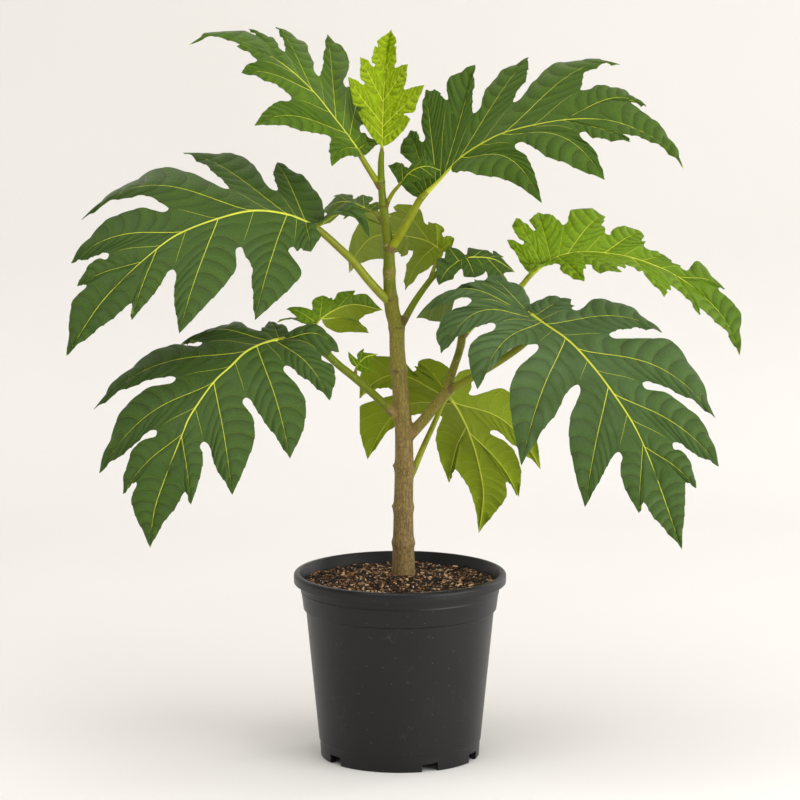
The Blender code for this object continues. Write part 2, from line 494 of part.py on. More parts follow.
def build_pot(group, cutters):
    """The pot: a rolled lip, a wide band, a tapered body and a notched foot ring."""
    top = POT_HEIGHT
    lip_low = top - LIP_HEIGHT
    rounding = [
        (POT_RIM_RADIUS - LIP_ROUNDING * (1 - math.sin(angle)), top - LIP_ROUNDING * (1 - math.cos(angle)))
        for angle in (math.pi / 2 * step / LIP_ROUNDING_STEPS for step in range(LIP_ROUNDING_STEPS + 1))
    ]
    body_at_foot = BODY_RADIUS_LOW + (BODY_RADIUS_TOP - BODY_RADIUS_LOW) * FOOT_RING_HEIGHT / BAND_BOTTOM
    inner_edge = (BAND_RADIUS_TOP - INNER_STEP, top - LIP_INNER_DROP)
    floor = FLOOR_RAISE + POT_WALL
    outside = [
        inner_edge,
        (BAND_RADIUS_TOP + LIP_TOP_WIDTH, top),
        *rounding,
        (POT_RIM_RADIUS - LIP_DRAFT, lip_low),
        (BAND_RADIUS_TOP, lip_low),
        (BAND_RADIUS_LOW, BAND_BOTTOM),
        (BODY_RADIUS_TOP, BAND_BOTTOM - BAND_STEP),
        (body_at_foot, FOOT_RING_HEIGHT + EDGE),
        (body_at_foot - FOOT_GROOVE, FOOT_RING_HEIGHT),
        (BODY_RADIUS_LOW, EDGE),
        (BODY_RADIUS_LOW - EDGE, 0),
        (CHANNEL_RADIUS + EDGE, 0),
        (CHANNEL_RADIUS, FLOOR_RAISE),
        (FLOOR_PAD_RADIUS + PAD_SLOPE, FLOOR_RAISE),
        (FLOOR_PAD_RADIUS, 0),
        (0, 0),
    ]
    inside = [
        (0, POT_WALL),
        (FLOOR_PAD_RADIUS - EDGE, POT_WALL),
        (FLOOR_PAD_RADIUS - EDGE + PAD_SLOPE, floor),
        (pot_inner_radius(floor), floor),
        (pot_inner_radius(BAND_BOTTOM - EDGE), BAND_BOTTOM - WALL_STEP),
        (pot_inner_radius(BAND_BOTTOM + EDGE), BAND_BOTTOM),
        inner_edge,
    ]
    black = material("pot_black", (0.022, 0.023, 0.025), 0.42)
    pot = turned("pot", outside + inside, POT_STEPS, group, black)
    cuts = []
    for pair in NOTCH_PAIR_ANGLES:
        for side in (-1, 1):
            angle = math.radians(pair + side * NOTCH_HALF_SPREAD - 90)
            cuts.append(notch_cutter(angle, cutters))
            cuts.append(drain_cutter(angle, cutters))
    boolean(pot, "DIFFERENCE", cuts)
    return pot


def notch_cutter(angle, cutters):
    """A block that opens one drainage notch in the foot ring."""
    shape = bmesh.new()
    bmesh.ops.create_cube(shape, size=1.0)
    bmesh.ops.scale(shape, vec=(NOTCH_DEPTH, NOTCH_WIDTH, 2 * NOTCH_HEIGHT), verts=shape.verts)
    mesh = bpy.data.meshes.new("notch")
    shape.to_mesh(mesh)
    shape.free()
    cutter = add_object("notch_cutter", mesh, cutters)
    cutter.location = (BODY_RADIUS_LOW * math.cos(angle), BODY_RADIUS_LOW * math.sin(angle), 0)
    cutter.rotation_euler[2] = angle
    hide_cutter(cutter)
    return cutter


def drain_cutter(angle, cutters):
    """A pin that opens one drain hole in the pot's floor."""
    shape = bmesh.new()
    bmesh.ops.create_cone(shape, cap_ends=True, segments=DRAIN_SIDES, radius1=DRAIN_RADIUS,
                          radius2=DRAIN_RADIUS, depth=DRAIN_LENGTH)
    mesh = bpy.data.meshes.new("drain")
    shape.to_mesh(mesh)
    shape.free()
    cutter = add_object("drain_cutter", mesh, cutters)
    cutter.location = (DRAIN_RING_RADIUS * math.cos(angle), DRAIN_RING_RADIUS * math.sin(angle), FLOOR_RAISE)
    hide_cutter(cutter)
    return cutter


def hide_cutter(cutter):
    """A cutter is drawn as wire and isn't part of the tree."""
    cutter.display_type = "WIRE"
    cutter.hide_render = True


def soil_height(x, y):
    """The soil's surface: a low mound at the trunk with lumps of bark and peat."""
    reach = math.hypot(x, y)
    mound = SOIL_MOUND * math.exp(-(reach / SOIL_MOUND_RADIUS) ** 2)
    lump = noise.noise(Vector((x, y, 0)) * LUMPS_PER_METRE)
    lump += 0.5 * noise.noise(Vector((x, y, 1)) * FINE_LUMPS_PER_METRE)
    return SOIL_LEVEL + mound + SOIL_LUMP * lump


def build_soil(group, seat):
    """The soil: it fills the pot to just under the lip, with a plain hole for the trunk."""
    edge = pot_inner_radius(SOIL_LEVEL) - GAP
    top = [(edge * ring / SOIL_RINGS, SOIL_LEVEL) for ring in range(SOIL_RINGS + 1)]
    floor = FLOOR_RAISE + POT_WALL
    side = [
        (pot_inner_radius(BAND_BOTTOM + EDGE) - GAP, BAND_BOTTOM),
        (pot_inner_radius(BAND_BOTTOM - EDGE) - GAP, BAND_BOTTOM - WALL_STEP),
        (pot_inner_radius(floor) - 2 * GAP, floor + GAP),
        (FLOOR_PAD_RADIUS - EDGE + PAD_SLOPE - GAP, floor + GAP),
        (FLOOR_PAD_RADIUS - EDGE - 2 * GAP, POT_WALL + GAP),
        (0, POT_WALL + GAP),
    ]
    soil = turned("soil", top + side, POT_STEPS, group, material("soil_brown", (0.045, 0.028, 0.018), 0.95))
    for corner in soil.data.vertices:
        if corner.co.z > SOIL_LEVEL - EDGE:
            corner.co.z = soil_height(corner.co.x, corner.co.y)
    cutter = seat.copy()
    group.objects.link(cutter)
    boolean(soil, "DIFFERENCE", [cutter])
    return soil


def swollen(radius, height, rings):
    """The stem's radius with a raised ring at each height in rings."""
    swell = sum(math.exp(-((height - ring) * CM / RING_HALF_HEIGHT) ** 2) for ring in rings)
    return radius * (1 + RING_SWELL * min(swell, 1.0))


def stem_points(line, spacing, rings=()):
    """Points in metres along a stem's line, closer together at its raised rings."""
    path = Path(line)
    steps = max(2, round(path.length() * CM / spacing))
    shares = {step / steps for step in range(steps + 1)}
    span = line[-1][2] - line[0][2]
    for ring in rings:
        for offset in (-RING_HALF_HEIGHT, 0, RING_HALF_HEIGHT):
            shares.add((ring + offset / CM - line[0][2]) / span)
    points = []
    for share in sorted(share for share in shares if 0 <= share <= 1):
        x, y, z, radius = path.values_at(share)
        points.append((x * CM, y * CM, z * CM, swollen(radius, z, rings) * CM))
    return points


def grown(points, gap, reach):
    """The same stem a gap wider all round, and longer by the reach at both ends."""
    wider = [(x, y, z, radius + gap) for x, y, z, radius in points]
    for end, inner in ((0, 1), (-1, -2)):
        tip, back = Vector(points[end][:3]), Vector(points[inner][:3])
        wider[end] = (*(tip + (tip - back).normalized() * reach), points[end][3] + gap)
    return wider


def trunk_tubes(group, gap):
    """The trunk's tube and those of its side branches, a gap wider if one is given."""
    lines = {"trunk": stem_points(TRUNK_LINE, TRUNK_SPACING, TRUNK_RINGS)}
    lines.update({name: stem_points(line, BRANCH_SPACING) for name, line in BRANCH_LINES.items()})
    return [tube(name, grown(points, gap, gap), TRUNK_SIDES, group) for name, points in lines.items()]


def build_trunk(group, finish):
    """The trunk with its side branches grown on."""
    trunk, *branches = trunk_tubes(group, 0)
    trunk.data.materials.append(finish)
    boolean(trunk, "UNION", branches)
    return trunk


def clear_of_trunk(group):
    """The trunk and its branches again, a gap wider all round, to seat the stalks against."""
    shape, *branches = trunk_tubes(group, GAP)
    boolean(shape, "UNION", branches)
    hide_cutter(shape)
    return shape


class Vein:
    """One lobe's main vein, from its root on the midrib to the lobe's tip."""

    def __init__(self, midrib, share, x, y, z, arch,
                 base_width=DEFAULT_WIDTH, tip_width=None, sinus=DEFAULT_SINUS):
        self.share = share
        self.root = midrib.at(share)
        self.tip = Vector((x, y, z)) * CM
        self.arch = arch * CM * ARCH_PEAK
        reach = (self.tip - self.root).length
        self.base_width = base_width * reach
        self.tip_width = (tip_width or TIP_SIDE_SHARE * base_width) * reach
        self.sinus = sinus

    def at(self, share):
        lift = self.arch * max(share, 0) ** ARCH_POWER * (1 - share)
        return self.root.lerp(self.tip, share) + Vector((0, 0, lift))


class TipVein:
    """The midrib from its last side vein to the leaf's tip, read as a vein."""

    def __init__(self, midrib, share, width, sinus):
        self.midrib = midrib
        self.share = share
        self.root = midrib.at(share)
        self.base_width = width * midrib.length() * CM * (1 - share)
        self.sinus = sinus

    def at(self, share):
        return self.midrib.at(self.share + (1 - self.share) * share)


def side_veins(leaf, side, midrib):
    """The veins of one side of a leaf from its base to its tip."""
    veins = [Vein(midrib, *lobe) for lobe in leaf[side]]
    last = veins[-1].share
    width = leaf["tip_width"][side == "right"]
    sinus = leaf.get("tip_sinus", (DEFAULT_SINUS, DEFAULT_SINUS))[side == "right"]
    veins.append(TipVein(midrib, last + TIP_LOBE_START * (1 - last), width, sinus))
    return veins


def lobe_half_width(share):
    """A lobe's outline: full at its waist, then drawn to a point."""
    return (1 - share) ** LOBE_POINT * (1 + LOBE_WAIST * share)


def nearest_share(vein, point):
    """The share of a vein's length that lies nearest to a point."""
    shares = [step / NEAREST_STEPS for step in range(NEAREST_STEPS + 1)]
    return min(shares, key=lambda share: (vein.at(share) - point).length_squared)


def square_to(vein, share, way):
    """A direction square to the vein at a share of its length, on the side that way points to."""
    along = (vein.at(min(share + 0.03, 1.0)) - vein.at(share - 0.03)).normalized()
    return (way - along * way.dot(along)).normalized()


def bay_shares(here, there):
    """Where the bay between two veins lies level with each of them."""
    start = max((here, there), key=lambda each: each.share).sinus
    bottom = (here.at(start) + there.at(start)) / 2
    low, high = BAY_LIMITS
    return [min(max(nearest_share(vein, bottom), low), high) for vein in (here, there)]


def margin_point(vein, neighbour, half_width, share, start, across):
    """A point of the margin beside a vein, beyond the bay that starts at that share."""
    square = square_to(vein, share, across)
    point = vein.at(share)
    level = nearest_share(neighbour, point)
    room = (neighbour.at(level) - point).length * (HALF_WAY if level < 1 else OPEN_WAY)
    beyond = (share - start) / (1 - start)
    turn = min(beyond / SINUS_ROUNDING, 1.0)
    width = min(half_width * lobe_half_width(beyond), room)
    rounding = 1 - math.sqrt(1 - (1 - turn) ** 2)
    return point + square * width * (1 - rounding) + across * rounding


def row_shares(start):
    """How far out each row of a half lobe lies, for a bay that starts at that share."""
    seam = [start * step / SEAM_ROWS for step in range(SEAM_ROWS + 1)]
    return seam + [start + (1 - start) * beyond for beyond in MARGIN_ROWS]


def vein_rows(vein):
    """The vein's own points, the same for both half lobes beside it."""
    return [vein.at(share ** VEIN_SLANT) for share in row_shares(DEFAULT_SINUS)]


def half_lobe(vein, neighbour, midrib):
    """Rows of a half lobe on the side of its neighbour: its vein point and its outer point."""
    start, level = bay_shares(vein, neighbour)
    middle = (vein.share + neighbour.share) / 2
    offset = midrib.at(middle) - (vein.root + neighbour.root) / 2
    across = (neighbour.at(level) - vein.at(start)) / 2
    outer = []
    for step in range(SEAM_ROWS + 1):
        part = step / SEAM_ROWS
        outer.append((vein.at(start * part) + neighbour.at(level * part)) / 2 + offset * (1 - part))
    half_width = vein.tip_width if neighbour.share > vein.share else vein.base_width
    for share in row_shares(start)[SEAM_ROWS + 1:-1]:
        outer.append(margin_point(vein, neighbour, half_width, share, start, across))
    outer.append(vein.at(1.0))
    return list(zip(vein_rows(vein), outer))


def basal_half_lobe(vein, neighbour, start):
    """Rows of the lowest half lobe, which closes on the midrib where the blade starts."""
    outer = [start]
    base = start - vein.root
    away = vein.at(DEFAULT_SINUS) - neighbour.at(DEFAULT_SINUS)
    for share in row_shares(DEFAULT_SINUS)[1:-1]:
        square = square_to(vein, share, away)
        width = vein.base_width * math.sin(math.pi * share ** BASAL_SKEW) ** BASAL_ROUNDNESS
        outer.append(vein.at(share) + square * width + base * (1 - share) ** 3)
    outer.append(vein.at(1.0))
    return list(zip(vein_rows(vein), outer))


def add_patch(shape, rows, off_rib):
    """One half lobe as a grid whose points are moved on to its rows."""
    made = bmesh.ops.create_grid(shape, x_segments=1, y_segments=len(rows) - 1, size=0.5)
    for corner in made["verts"]:
        index = round((corner.co.y + 0.5) * (len(rows) - 1))
        inner, outer = rows[index]
        corner.co = (outer if corner.co.x > 0 else inner) + off_rib


def blade_side(name, leaf, side, midrib, clearance, group):
    """One side of a blade as a thin closed sheet, a little off the midrib's line."""
    veins = side_veins(leaf, side, midrib)
    middle = midrib.at(0.5)
    out = veins[len(veins) // 2 - 1].at(0.6) - middle
    run = (midrib.at(0.6) - midrib.at(0.4)).normalized()
    off_rib = (out - run * out.dot(run)).normalized() * clearance
    shape = bmesh.new()
    bare = leaf.get("bare", (0, 0))[side == "right"]
    add_patch(shape, basal_half_lobe(veins[0], veins[1], midrib.at(bare)), off_rib)
    for here, there in zip(veins, veins[1:]):
        add_patch(shape, half_lobe(here, there, midrib), off_rib)
        add_patch(shape, half_lobe(there, here, midrib), off_rib)
    bmesh.ops.remove_doubles(shape, verts=shape.verts, dist=SHEET_WELD)
    bmesh.ops.dissolve_degenerate(shape, edges=shape.edges, dist=MESH_WELD)
    bmesh.ops.triangulate(shape, faces=shape.faces)
    bmesh.ops.recalc_face_normals(shape, faces=shape.faces)
    mesh = bpy.data.meshes.new(name)
    shape.to_mesh(mesh)
    shape.free()
    sheet = add_object(name, mesh, group)
    solid = sheet.modifiers.new("thickness", "SOLIDIFY")
    solid.thickness = BLADE_THICKNESS
    solid.offset = 0.0
    bpy.context.view_layer.update()
    mesh = evaluated_mesh(sheet)
    sheet.modifiers.clear()
    sheet.data = mesh
    return sheet


def bud(place, group):
    """A small round bud."""
    *centre, radius = place
    shape = bmesh.new()
    bmesh.ops.create_icosphere(shape, subdivisions=2, radius=radius * CM)
    mesh = bpy.data.meshes.new("bud")
    shape.to_mesh(mesh)
    shape.free()
    for corner in mesh.vertices:
        corner.co += Vector(centre) * CM
    return add_object("bud", mesh, group)


def build_leaf(name, group, finish, seat):
    """One leaf as one closed piece, with the blade moved a little on the rib until it is sound."""
    for clearance in RIB_CLEARANCES:
        made = join_leaf(name, clearance, group, finish, seat)
        if is_sound(made.data) or clearance == RIB_CLEARANCES[-1]:
            return made
        bpy.data.objects.remove(made)


def join_leaf(name, clearance, group, finish, seat):
    """A leaf's stalk and midrib as a tube, with the two sides of the blade and any bud joined on."""
    leaf = LEAVES[name]
    midrib = Path(leaf["midrib"])
    stalk = Path(leaf["stalk"])
    thick, thin = leaf["radius"]
    steps = max(2, round(stalk.length() / STALK_SPACING))
    points = [(*stalk.at(step / steps),
    (thick + (thin - thick) * step / steps) * CM) for step in range(steps + 1)]
    stem = tube(name, grown(points, 0, thin * KNEE_LAP * CM), STALK_SIDES, group, finish)
    ribs = max(3, round(midrib.length() / RIB_SPACING))
    points = []
    for step in range(ribs + 1):
        share = step / ribs
        radius = thin * (1 - share) ** RIB_TAPER * RIB_FULLNESS + RIB_END_RADIUS
        points.append((*midrib.at(share * RIB_REACH), radius * CM))
    rib = tube(f"{name}_rib", points, STALK_SIDES, group)
    joined = [rib]
    for side in ("left", "right"):
        joined.append(blade_side(f"{name}_{side}", leaf, side, midrib, clearance, group))
    if "bud" in leaf:
        joined.append(bud(leaf["bud"], group))
    boolean(stem, "UNION", joined)
    cutter = seat.copy()
    group.objects.link(cutter)
    boolean(stem, "DIFFERENCE", [cutter])
    return stem


def main():
    for old in list(bpy.data.objects):
        bpy.data.objects.remove(old)
    group = collection("potted_breadnut_tree")
    cutters = collection("cutters")
    build_pot(group, cutters)
    build_trunk(group, material("bark_brown", (0.16, 0.115, 0.06), 0.7))
    seat = clear_of_trunk(cutters)
    build_soil(group, seat)
    green = material("leaf_green", (0.07, 0.15, 0.035), 0.5)
    young = material("leaf_young", (0.25, 0.38, 0.03), 0.45)
    for name in LEAVES:
        build_leaf(name, group, young if name == "leaf_crown" else green, seat)
    bpy.data.objects.remove(seat)


main()
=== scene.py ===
# %% [markdown]
# # A potted breadnut tree
# A young breadnut tree stands in a black nursery pot. Its large leaves are cut into
# pointed lobes, and a bright yellow midrib and side veins run through each of them.
# The CAD model gives every piece its place and size. This lesson loads it, then grows
# a finer piece over each node: the turned pot, the soil with its bark, the trunk with
# its rings, and leaves whose blades are quilted between the veins.

# %% Load the CAD frame
import bisect
import math
import random

import bmesh
import bpy
from mathutils import Matrix, Vector, noise
from mathutils.geometry import interpolate_bezier


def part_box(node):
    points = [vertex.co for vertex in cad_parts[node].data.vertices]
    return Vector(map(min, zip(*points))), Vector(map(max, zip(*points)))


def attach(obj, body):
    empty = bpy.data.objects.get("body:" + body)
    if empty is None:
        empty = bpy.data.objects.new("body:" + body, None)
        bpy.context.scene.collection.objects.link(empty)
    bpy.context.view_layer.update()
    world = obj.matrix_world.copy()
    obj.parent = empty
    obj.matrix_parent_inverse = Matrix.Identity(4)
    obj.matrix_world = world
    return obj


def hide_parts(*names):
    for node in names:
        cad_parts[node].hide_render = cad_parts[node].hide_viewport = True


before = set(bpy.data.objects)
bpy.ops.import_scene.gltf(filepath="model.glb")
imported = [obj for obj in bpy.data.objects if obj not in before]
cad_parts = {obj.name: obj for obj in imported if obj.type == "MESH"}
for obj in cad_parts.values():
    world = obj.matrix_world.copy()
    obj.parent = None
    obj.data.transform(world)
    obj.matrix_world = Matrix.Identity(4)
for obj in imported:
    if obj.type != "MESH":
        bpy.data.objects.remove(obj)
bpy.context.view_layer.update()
CM = 0.01
MM = 0.001
UP = Vector((0, 0, 1))

# %% [markdown]
# ## The camera
# The picture was taken from about five metres away and a little above the leaves, with
# a long lens. A long lens keeps the near and far leaves at almost the same scale, so
# the camera is placed from the real distance and tilt, and the lens follows from them.

# %% Place the camera
CAMERA_DISTANCE = 5.0
CAMERA_TILT = math.radians(9.6)
AIM_HEIGHT = 0.4245
LENS_MM = 192.6

camera_data = bpy.data.cameras.new("camera")
camera_data.lens = LENS_MM
camera_data.sensor_width = 36
camera_data.clip_end = 50
camera = bpy.data.objects.new("camera", camera_data)
camera.location = (0, -CAMERA_DISTANCE * math.cos(CAMERA_TILT),
                   AIM_HEIGHT + CAMERA_DISTANCE * math.sin(CAMERA_TILT))
camera.rotation_euler = (math.pi / 2 - CAMERA_TILT, 0, 0)
bpy.context.scene.collection.objects.link(camera)
bpy.context.scene.camera = camera
print("camera at", tuple(round(value, 3) for value in camera.location))

# %% [markdown]
# ## The studio
# The plant stands in a pale studio. A sheet of backdrop paper runs from the floor up
# behind it in one soft bend, so no horizon shows. It could be two planes, but a swept
# profile gives the bend for free: a line is drawn once and pushed sideways.

# %% Sweep the backdrop
BACKDROP_WIDTH = 9.0
BACKDROP_FRONT = -7.0
BACKDROP_BACK = 2.6
BACKDROP_BEND = 1.2
BACKDROP_HEIGHT = 4.5
BEND_STEPS = 24


def backdrop_profile():
    """The floor line, its quarter bend and the wall line, as y and z."""
    bend = [
        (BACKDROP_BACK - BACKDROP_BEND * (1 - math.sin(angle)), BACKDROP_BEND * (1 - math.cos(angle)))
        for angle in (math.pi / 2 * step / BEND_STEPS for step in range(BEND_STEPS + 1))
    ]
    return [(BACKDROP_FRONT, 0), *bend, (BACKDROP_BACK, BACKDROP_HEIGHT)]


def new_object(name, shape, *finishes):
    """Finish a bmesh as an object in the scene, with its materials."""
    mesh = bpy.data.meshes.new(name)
    for finish in finishes:
        mesh.materials.append(finish)
    shape.to_mesh(mesh)
    shape.free()
    made = bpy.data.objects.new(name, mesh)
    bpy.context.scene.collection.objects.link(made)
    return made


paper = bmesh.new()
line = [paper.verts.new((-BACKDROP_WIDTH / 2, y, z)) for y, z in backdrop_profile()]
edges = [paper.edges.new(pair) for pair in zip(line, line[1:])]
swept = bmesh.ops.extrude_edge_only(paper, edges=edges)
moved = [part for part in swept["geom"] if isinstance(part, bmesh.types.BMVert)]
bmesh.ops.translate(paper, verts=moved, vec=(BACKDROP_WIDTH, 0, 0))
bmesh.ops.recalc_face_normals(paper, faces=paper.faces)
for face in paper.faces:
    face.smooth = True
backdrop = new_object("backdrop", paper)
print("backdrop faces:", len(backdrop.data.polygons))

# %% [markdown]
# Soft light comes from large lamps, as from softboxes. The tall one on the right and the
# low one under it draw the vertical sheen on the pot. One above and in front lights the
# blades, a weak one on the left opens the shadows, and one behind on the right touches
# the edges. The last one only washes the paper, and the world adds the white room.

# %% Light the studio
# Each lamp: place, size, power, colour and the point that it is aimed at.
LAMPS = {
    "softbox_right": ((2.9, -1.9, 1.5), (3.0, 3.0), 50, (0.99, 0.985, 0.98), (0, 0, 0.45)),
    "softbox_low": ((2.0, -1.3, 0.35), (2.2, 0.7), 18, (0.97, 0.98, 1.0), (0, 0, 0.1)),
    "softbox_rim": ((2.3, 1.6, 1.2), (0.6, 2.4), 12, (1.0, 0.99, 0.97), (0, 0, 0.45)),
    "softbox_left": ((-3.4, -1.8, 1.9), (1.6, 2.4), 3.5, (0.98, 0.99, 1.0), (0, 0, 0.45)),
    "softbox_top": ((-0.4, -1.4, 3.6), (3.6, 3.4), 69, (1.0, 0.985, 0.95), (0, 0, 0.45)),
    "paper_wash": ((0, 1.0, 3.9), (5.0, 1.0), 1.2, (1.0, 0.99, 0.97), (0, 2.6, 0.7)),
}
for name, (place, size, power, colour, target) in LAMPS.items():
    lamp = bpy.data.lights.new(name, "AREA")
    lamp.shape = "RECTANGLE"
    lamp.size, lamp.size_y = size
    lamp.energy = power
    lamp.color = colour
    holder = bpy.data.objects.new(name, lamp)
    holder.location = place
    holder.rotation_euler = (Vector(target) - Vector(place)).to_track_quat("-Z", "Y").to_euler()
    bpy.context.scene.collection.objects.link(holder)

world = bpy.data.worlds.new("white_room")
world.use_nodes = True
world.node_tree.nodes["Background"].inputs["Color"].default_value = (1.0, 0.985, 0.965, 1)
world.node_tree.nodes["Background"].inputs["Strength"].default_value = 0.55
bpy.context.scene.world = world
bpy.context.scene.view_settings.view_transform = "Standard"
print("lamps:", len(LAMPS))

# %% [markdown]
# ## Small helpers for shader nodes
# Every finish below is a handful of nodes. One helper adds a node with its settings
# and either fills its sockets or links them, which keeps each material short enough to
# read in one go. The others stand for what comes back often: a sum, a mask, a cloud of
# noise, a mix, a ramp and a bump. One starts a group, an effect that materials share.

# %% Helpers for nodes


def fill(tree, node, sockets):
    """Set a node's sockets, each to a plain value or to a link."""
    for key, value in sockets.items():
        if isinstance(value, bpy.types.NodeSocket):
            tree.links.new(value, node.inputs[key])
        else:
            node.inputs[key].default_value = value


def add(tree, kind, sockets=None, **settings):
    """Add a shader node, set it up and fill its sockets."""
    made = tree.nodes.new("ShaderNode" + kind)
    for key, value in settings.items():
        setattr(made, key, value)
    fill(tree, made, sockets or {})
    return made


def sum_up(tree, operation, *values, clamp=False):
    """The result of a Math node."""
    return add(tree, "Math", dict(enumerate(values)), operation=operation, use_clamp=clamp).outputs[0]


def plus(tree, first, second):
    """Two values added."""
    return sum_up(tree, "ADD", first, second)


def minus(tree, first, second):
    """The second value taken from the first."""
    return sum_up(tree, "SUBTRACT", first, second)


def times(tree, first, second):
    """Two values multiplied."""
    return sum_up(tree, "MULTIPLY", first, second)


def drifted(tree, value, cloud, amount):
    """A value that a cloud pattern moves up and down by up to half an amount."""
    return plus(tree, value, times(tree, minus(tree, cloud, 0.5), amount))


def between(tree, value, low, high):
    """A mask that is 0 at low, 1 at high and smooth between."""
    made = add(tree, "MapRange", {"Value": value, "From Min": low, "From Max": high},
               interpolation_type="SMOOTHSTEP")
    return made.outputs["Result"]


def stored(tree, name):
    """A value that the mesh keeps at its corners."""
    return add(tree, "Attribute", attribute_name=name).outputs["Fac"]


def object_place(tree):
    """The place on the object in metres."""
    return add(tree, "TexCoord").outputs["Object"]


def drawn_out(tree, place, scale, turn=(0, 0, 0)):
    """The place scaled in each direction, so that a pattern comes out longer or shorter there."""
    return add(tree, "Mapping", {"Vector": place, "Scale": scale, "Rotation": turn}).outputs[0]


def clouds(tree, place, scale, detail, roughness=0.5):
    """A soft pattern of noise around one half."""
    sockets = {"Vector": place, "Scale": scale, "Detail": detail, "Roughness": roughness}
    return add(tree, "TexNoise", sockets).outputs["Fac"]


def few(tree, cells, low, high):
    """A mask that keeps the few Voronoi cells whose random colour is strong."""
    red = add(tree, "SeparateColor", {"Color": cells.outputs["Color"]}).outputs["Red"]
    return between(tree, red, low, high)


def mix_colours(tree, share, first, second, mode="MIX"):
    """Mix two colours, each a socket or a plain colour."""
    made = add(tree, "Mix", data_type="RGBA", blend_type=mode)
    fill(tree, made, {0: share, 6: first, 7: second})
    return made.outputs[2]


def ramp(tree, value, stops):
    """A colour for each value, from stops of place and colour, or of place and grey."""
    made = add(tree, "ValToRGB", {"Fac": value})
    band = made.color_ramp
    while len(band.elements) < len(stops):
        band.elements.new(0.5)
    for element, (place, colour) in zip(band.elements, stops):
        element.position = place
        element.color = (*colour, 1) if isinstance(colour, tuple) else (colour, colour, colour, 1)
    return made.outputs["Color"]


def bumped(tree, height, strength, distance, normal=None):
    """The surface's direction, tilted by a pattern of heights, on top of another one if given."""
    made = add(tree, "Bump", {"Height": height, "Strength": strength, "Distance": distance})
    if normal is not None:
        fill(tree, made, {"Normal": normal})
    return made.outputs["Normal"]


def new_group(name, inputs, outputs):
    """An empty node group with named sockets, its inputs to read and its output node to fill."""
    group = bpy.data.node_groups.new(name, "ShaderNodeTree")
    for label, (kind, value) in inputs.items():
        socket = group.interface.new_socket(label, in_out="INPUT", socket_type="NodeSocket" + kind)
        if value is not None:
            socket.default_value = value
    for label, kind in outputs.items():
        group.interface.new_socket(label, in_out="OUTPUT", socket_type="NodeSocket" + kind)
    return group, group.nodes.new("NodeGroupInput").outputs, group.nodes.new("NodeGroupOutput")


def use_group(tree, group, sockets):
    """Place a group in a material."""
    return add(tree, "Group", sockets, node_tree=group).outputs


def new_material(name):
    """A material with its tree and its Principled shader."""
    made = bpy.data.materials.new(name)
    made.use_nodes = True
    return made, made.node_tree, made.node_tree.nodes["Principled BSDF"]


def dress(piece, finish):
    """Give a piece its one material."""
    piece.data.materials.clear()
    piece.data.materials.append(finish)


print("helpers ready")

# %% [markdown]
# ## The pot
# Nursery pots are pressed from thin black plastic: a rolled lip, a wide band with a
# faint line round it, a body that narrows downwards and a foot ring with notches for
# the water. A lathe shape like this is a profile turned round the axis, so the profile
# is written down once with its real sizes, and every corner is eased a little.

# %% The pot's sizes
RIM_RADIUS = 125 * MM
POT_HEIGHT = 220 * MM
POT_WALL = 2.2 * MM
LIP_HEIGHT = 12 * MM
LIP_TOP_WIDTH = 1.2 * MM
LIP_INNER_DROP = 1.4 * MM
INNER_STEP = 0.2 * MM
INNER_SLOPE = 3 * MM
LIP_DRAFT = 0.3 * MM
LIP_ROUNDING = 4 * MM
BAND_RADIUS_TOP = 117.7 * MM
BAND_RADIUS_LOW = 113.5 * MM
BAND_BOTTOM = 177 * MM
BAND_STEP = 1.5 * MM
BAND_LINE = 197.5 * MM
LINE_HEIGHT = 0.5 * MM
BODY_RADIUS_TOP = 110.7 * MM
BODY_RADIUS_LOW = 93.5 * MM
FOOT_RING_HEIGHT = 19 * MM
FOOT_GROOVE = 0.8 * MM
CHANNEL_RADIUS = 87 * MM
FLOOR_RAISE = 7 * MM
FLOOR_PAD_RADIUS = 56 * MM
PAD_SLOPE = 3 * MM
EDGE = 1 * MM
CORNER_EASE = 0.6 * MM
LIP_STEPS = 8
POT_STEPS = 216


def eased(points, radius, steps=3):
    """The same profile with its corners turned into small arcs."""
    line = [points[0]]
    for before, corner, after in zip(points, points[1:], points[2:]):
        here = Vector(corner)
        back, ahead = Vector(before) - here, Vector(after) - here
        reach = min(radius, back.length * 0.45, ahead.length * 0.45)
        start, end = here + back.normalized() * reach, here + ahead.normalized() * reach
        for step in range(steps + 1):
            share = step / steps
            line.append(tuple(start.lerp(here, share).lerp(here.lerp(end, share), share)))
    line.append(points[-1])
    return line


def band_radius(height):
    """The band's outer radius, which grows up to the lip."""
    share = (height - BAND_BOTTOM) / (POT_HEIGHT - LIP_HEIGHT - BAND_BOTTOM)
    return BAND_RADIUS_LOW + (BAND_RADIUS_TOP - BAND_RADIUS_LOW) * min(share, 1.0)


def body_radius(height):
    """The body's outer radius below the band."""
    return BODY_RADIUS_LOW + (BODY_RADIUS_TOP - BODY_RADIUS_LOW) * height / BAND_BOTTOM


def pot_inner_radius(height):
    """The wall's inner radius."""
    return (band_radius(height) if height > BAND_BOTTOM else body_radius(height)) - POT_WALL


print("lip at", POT_HEIGHT, "band radius at the line:", round(band_radius(BAND_LINE), 4))

# %% [markdown]
# The profile runs from the inner edge of the lip over the outside, under the foot and
# up the inside again, so it closes on itself. Spin turns it once round, and the doubles
# it leaves on the axis are merged before the normals are made to face outwards.

# %% Turn the pot


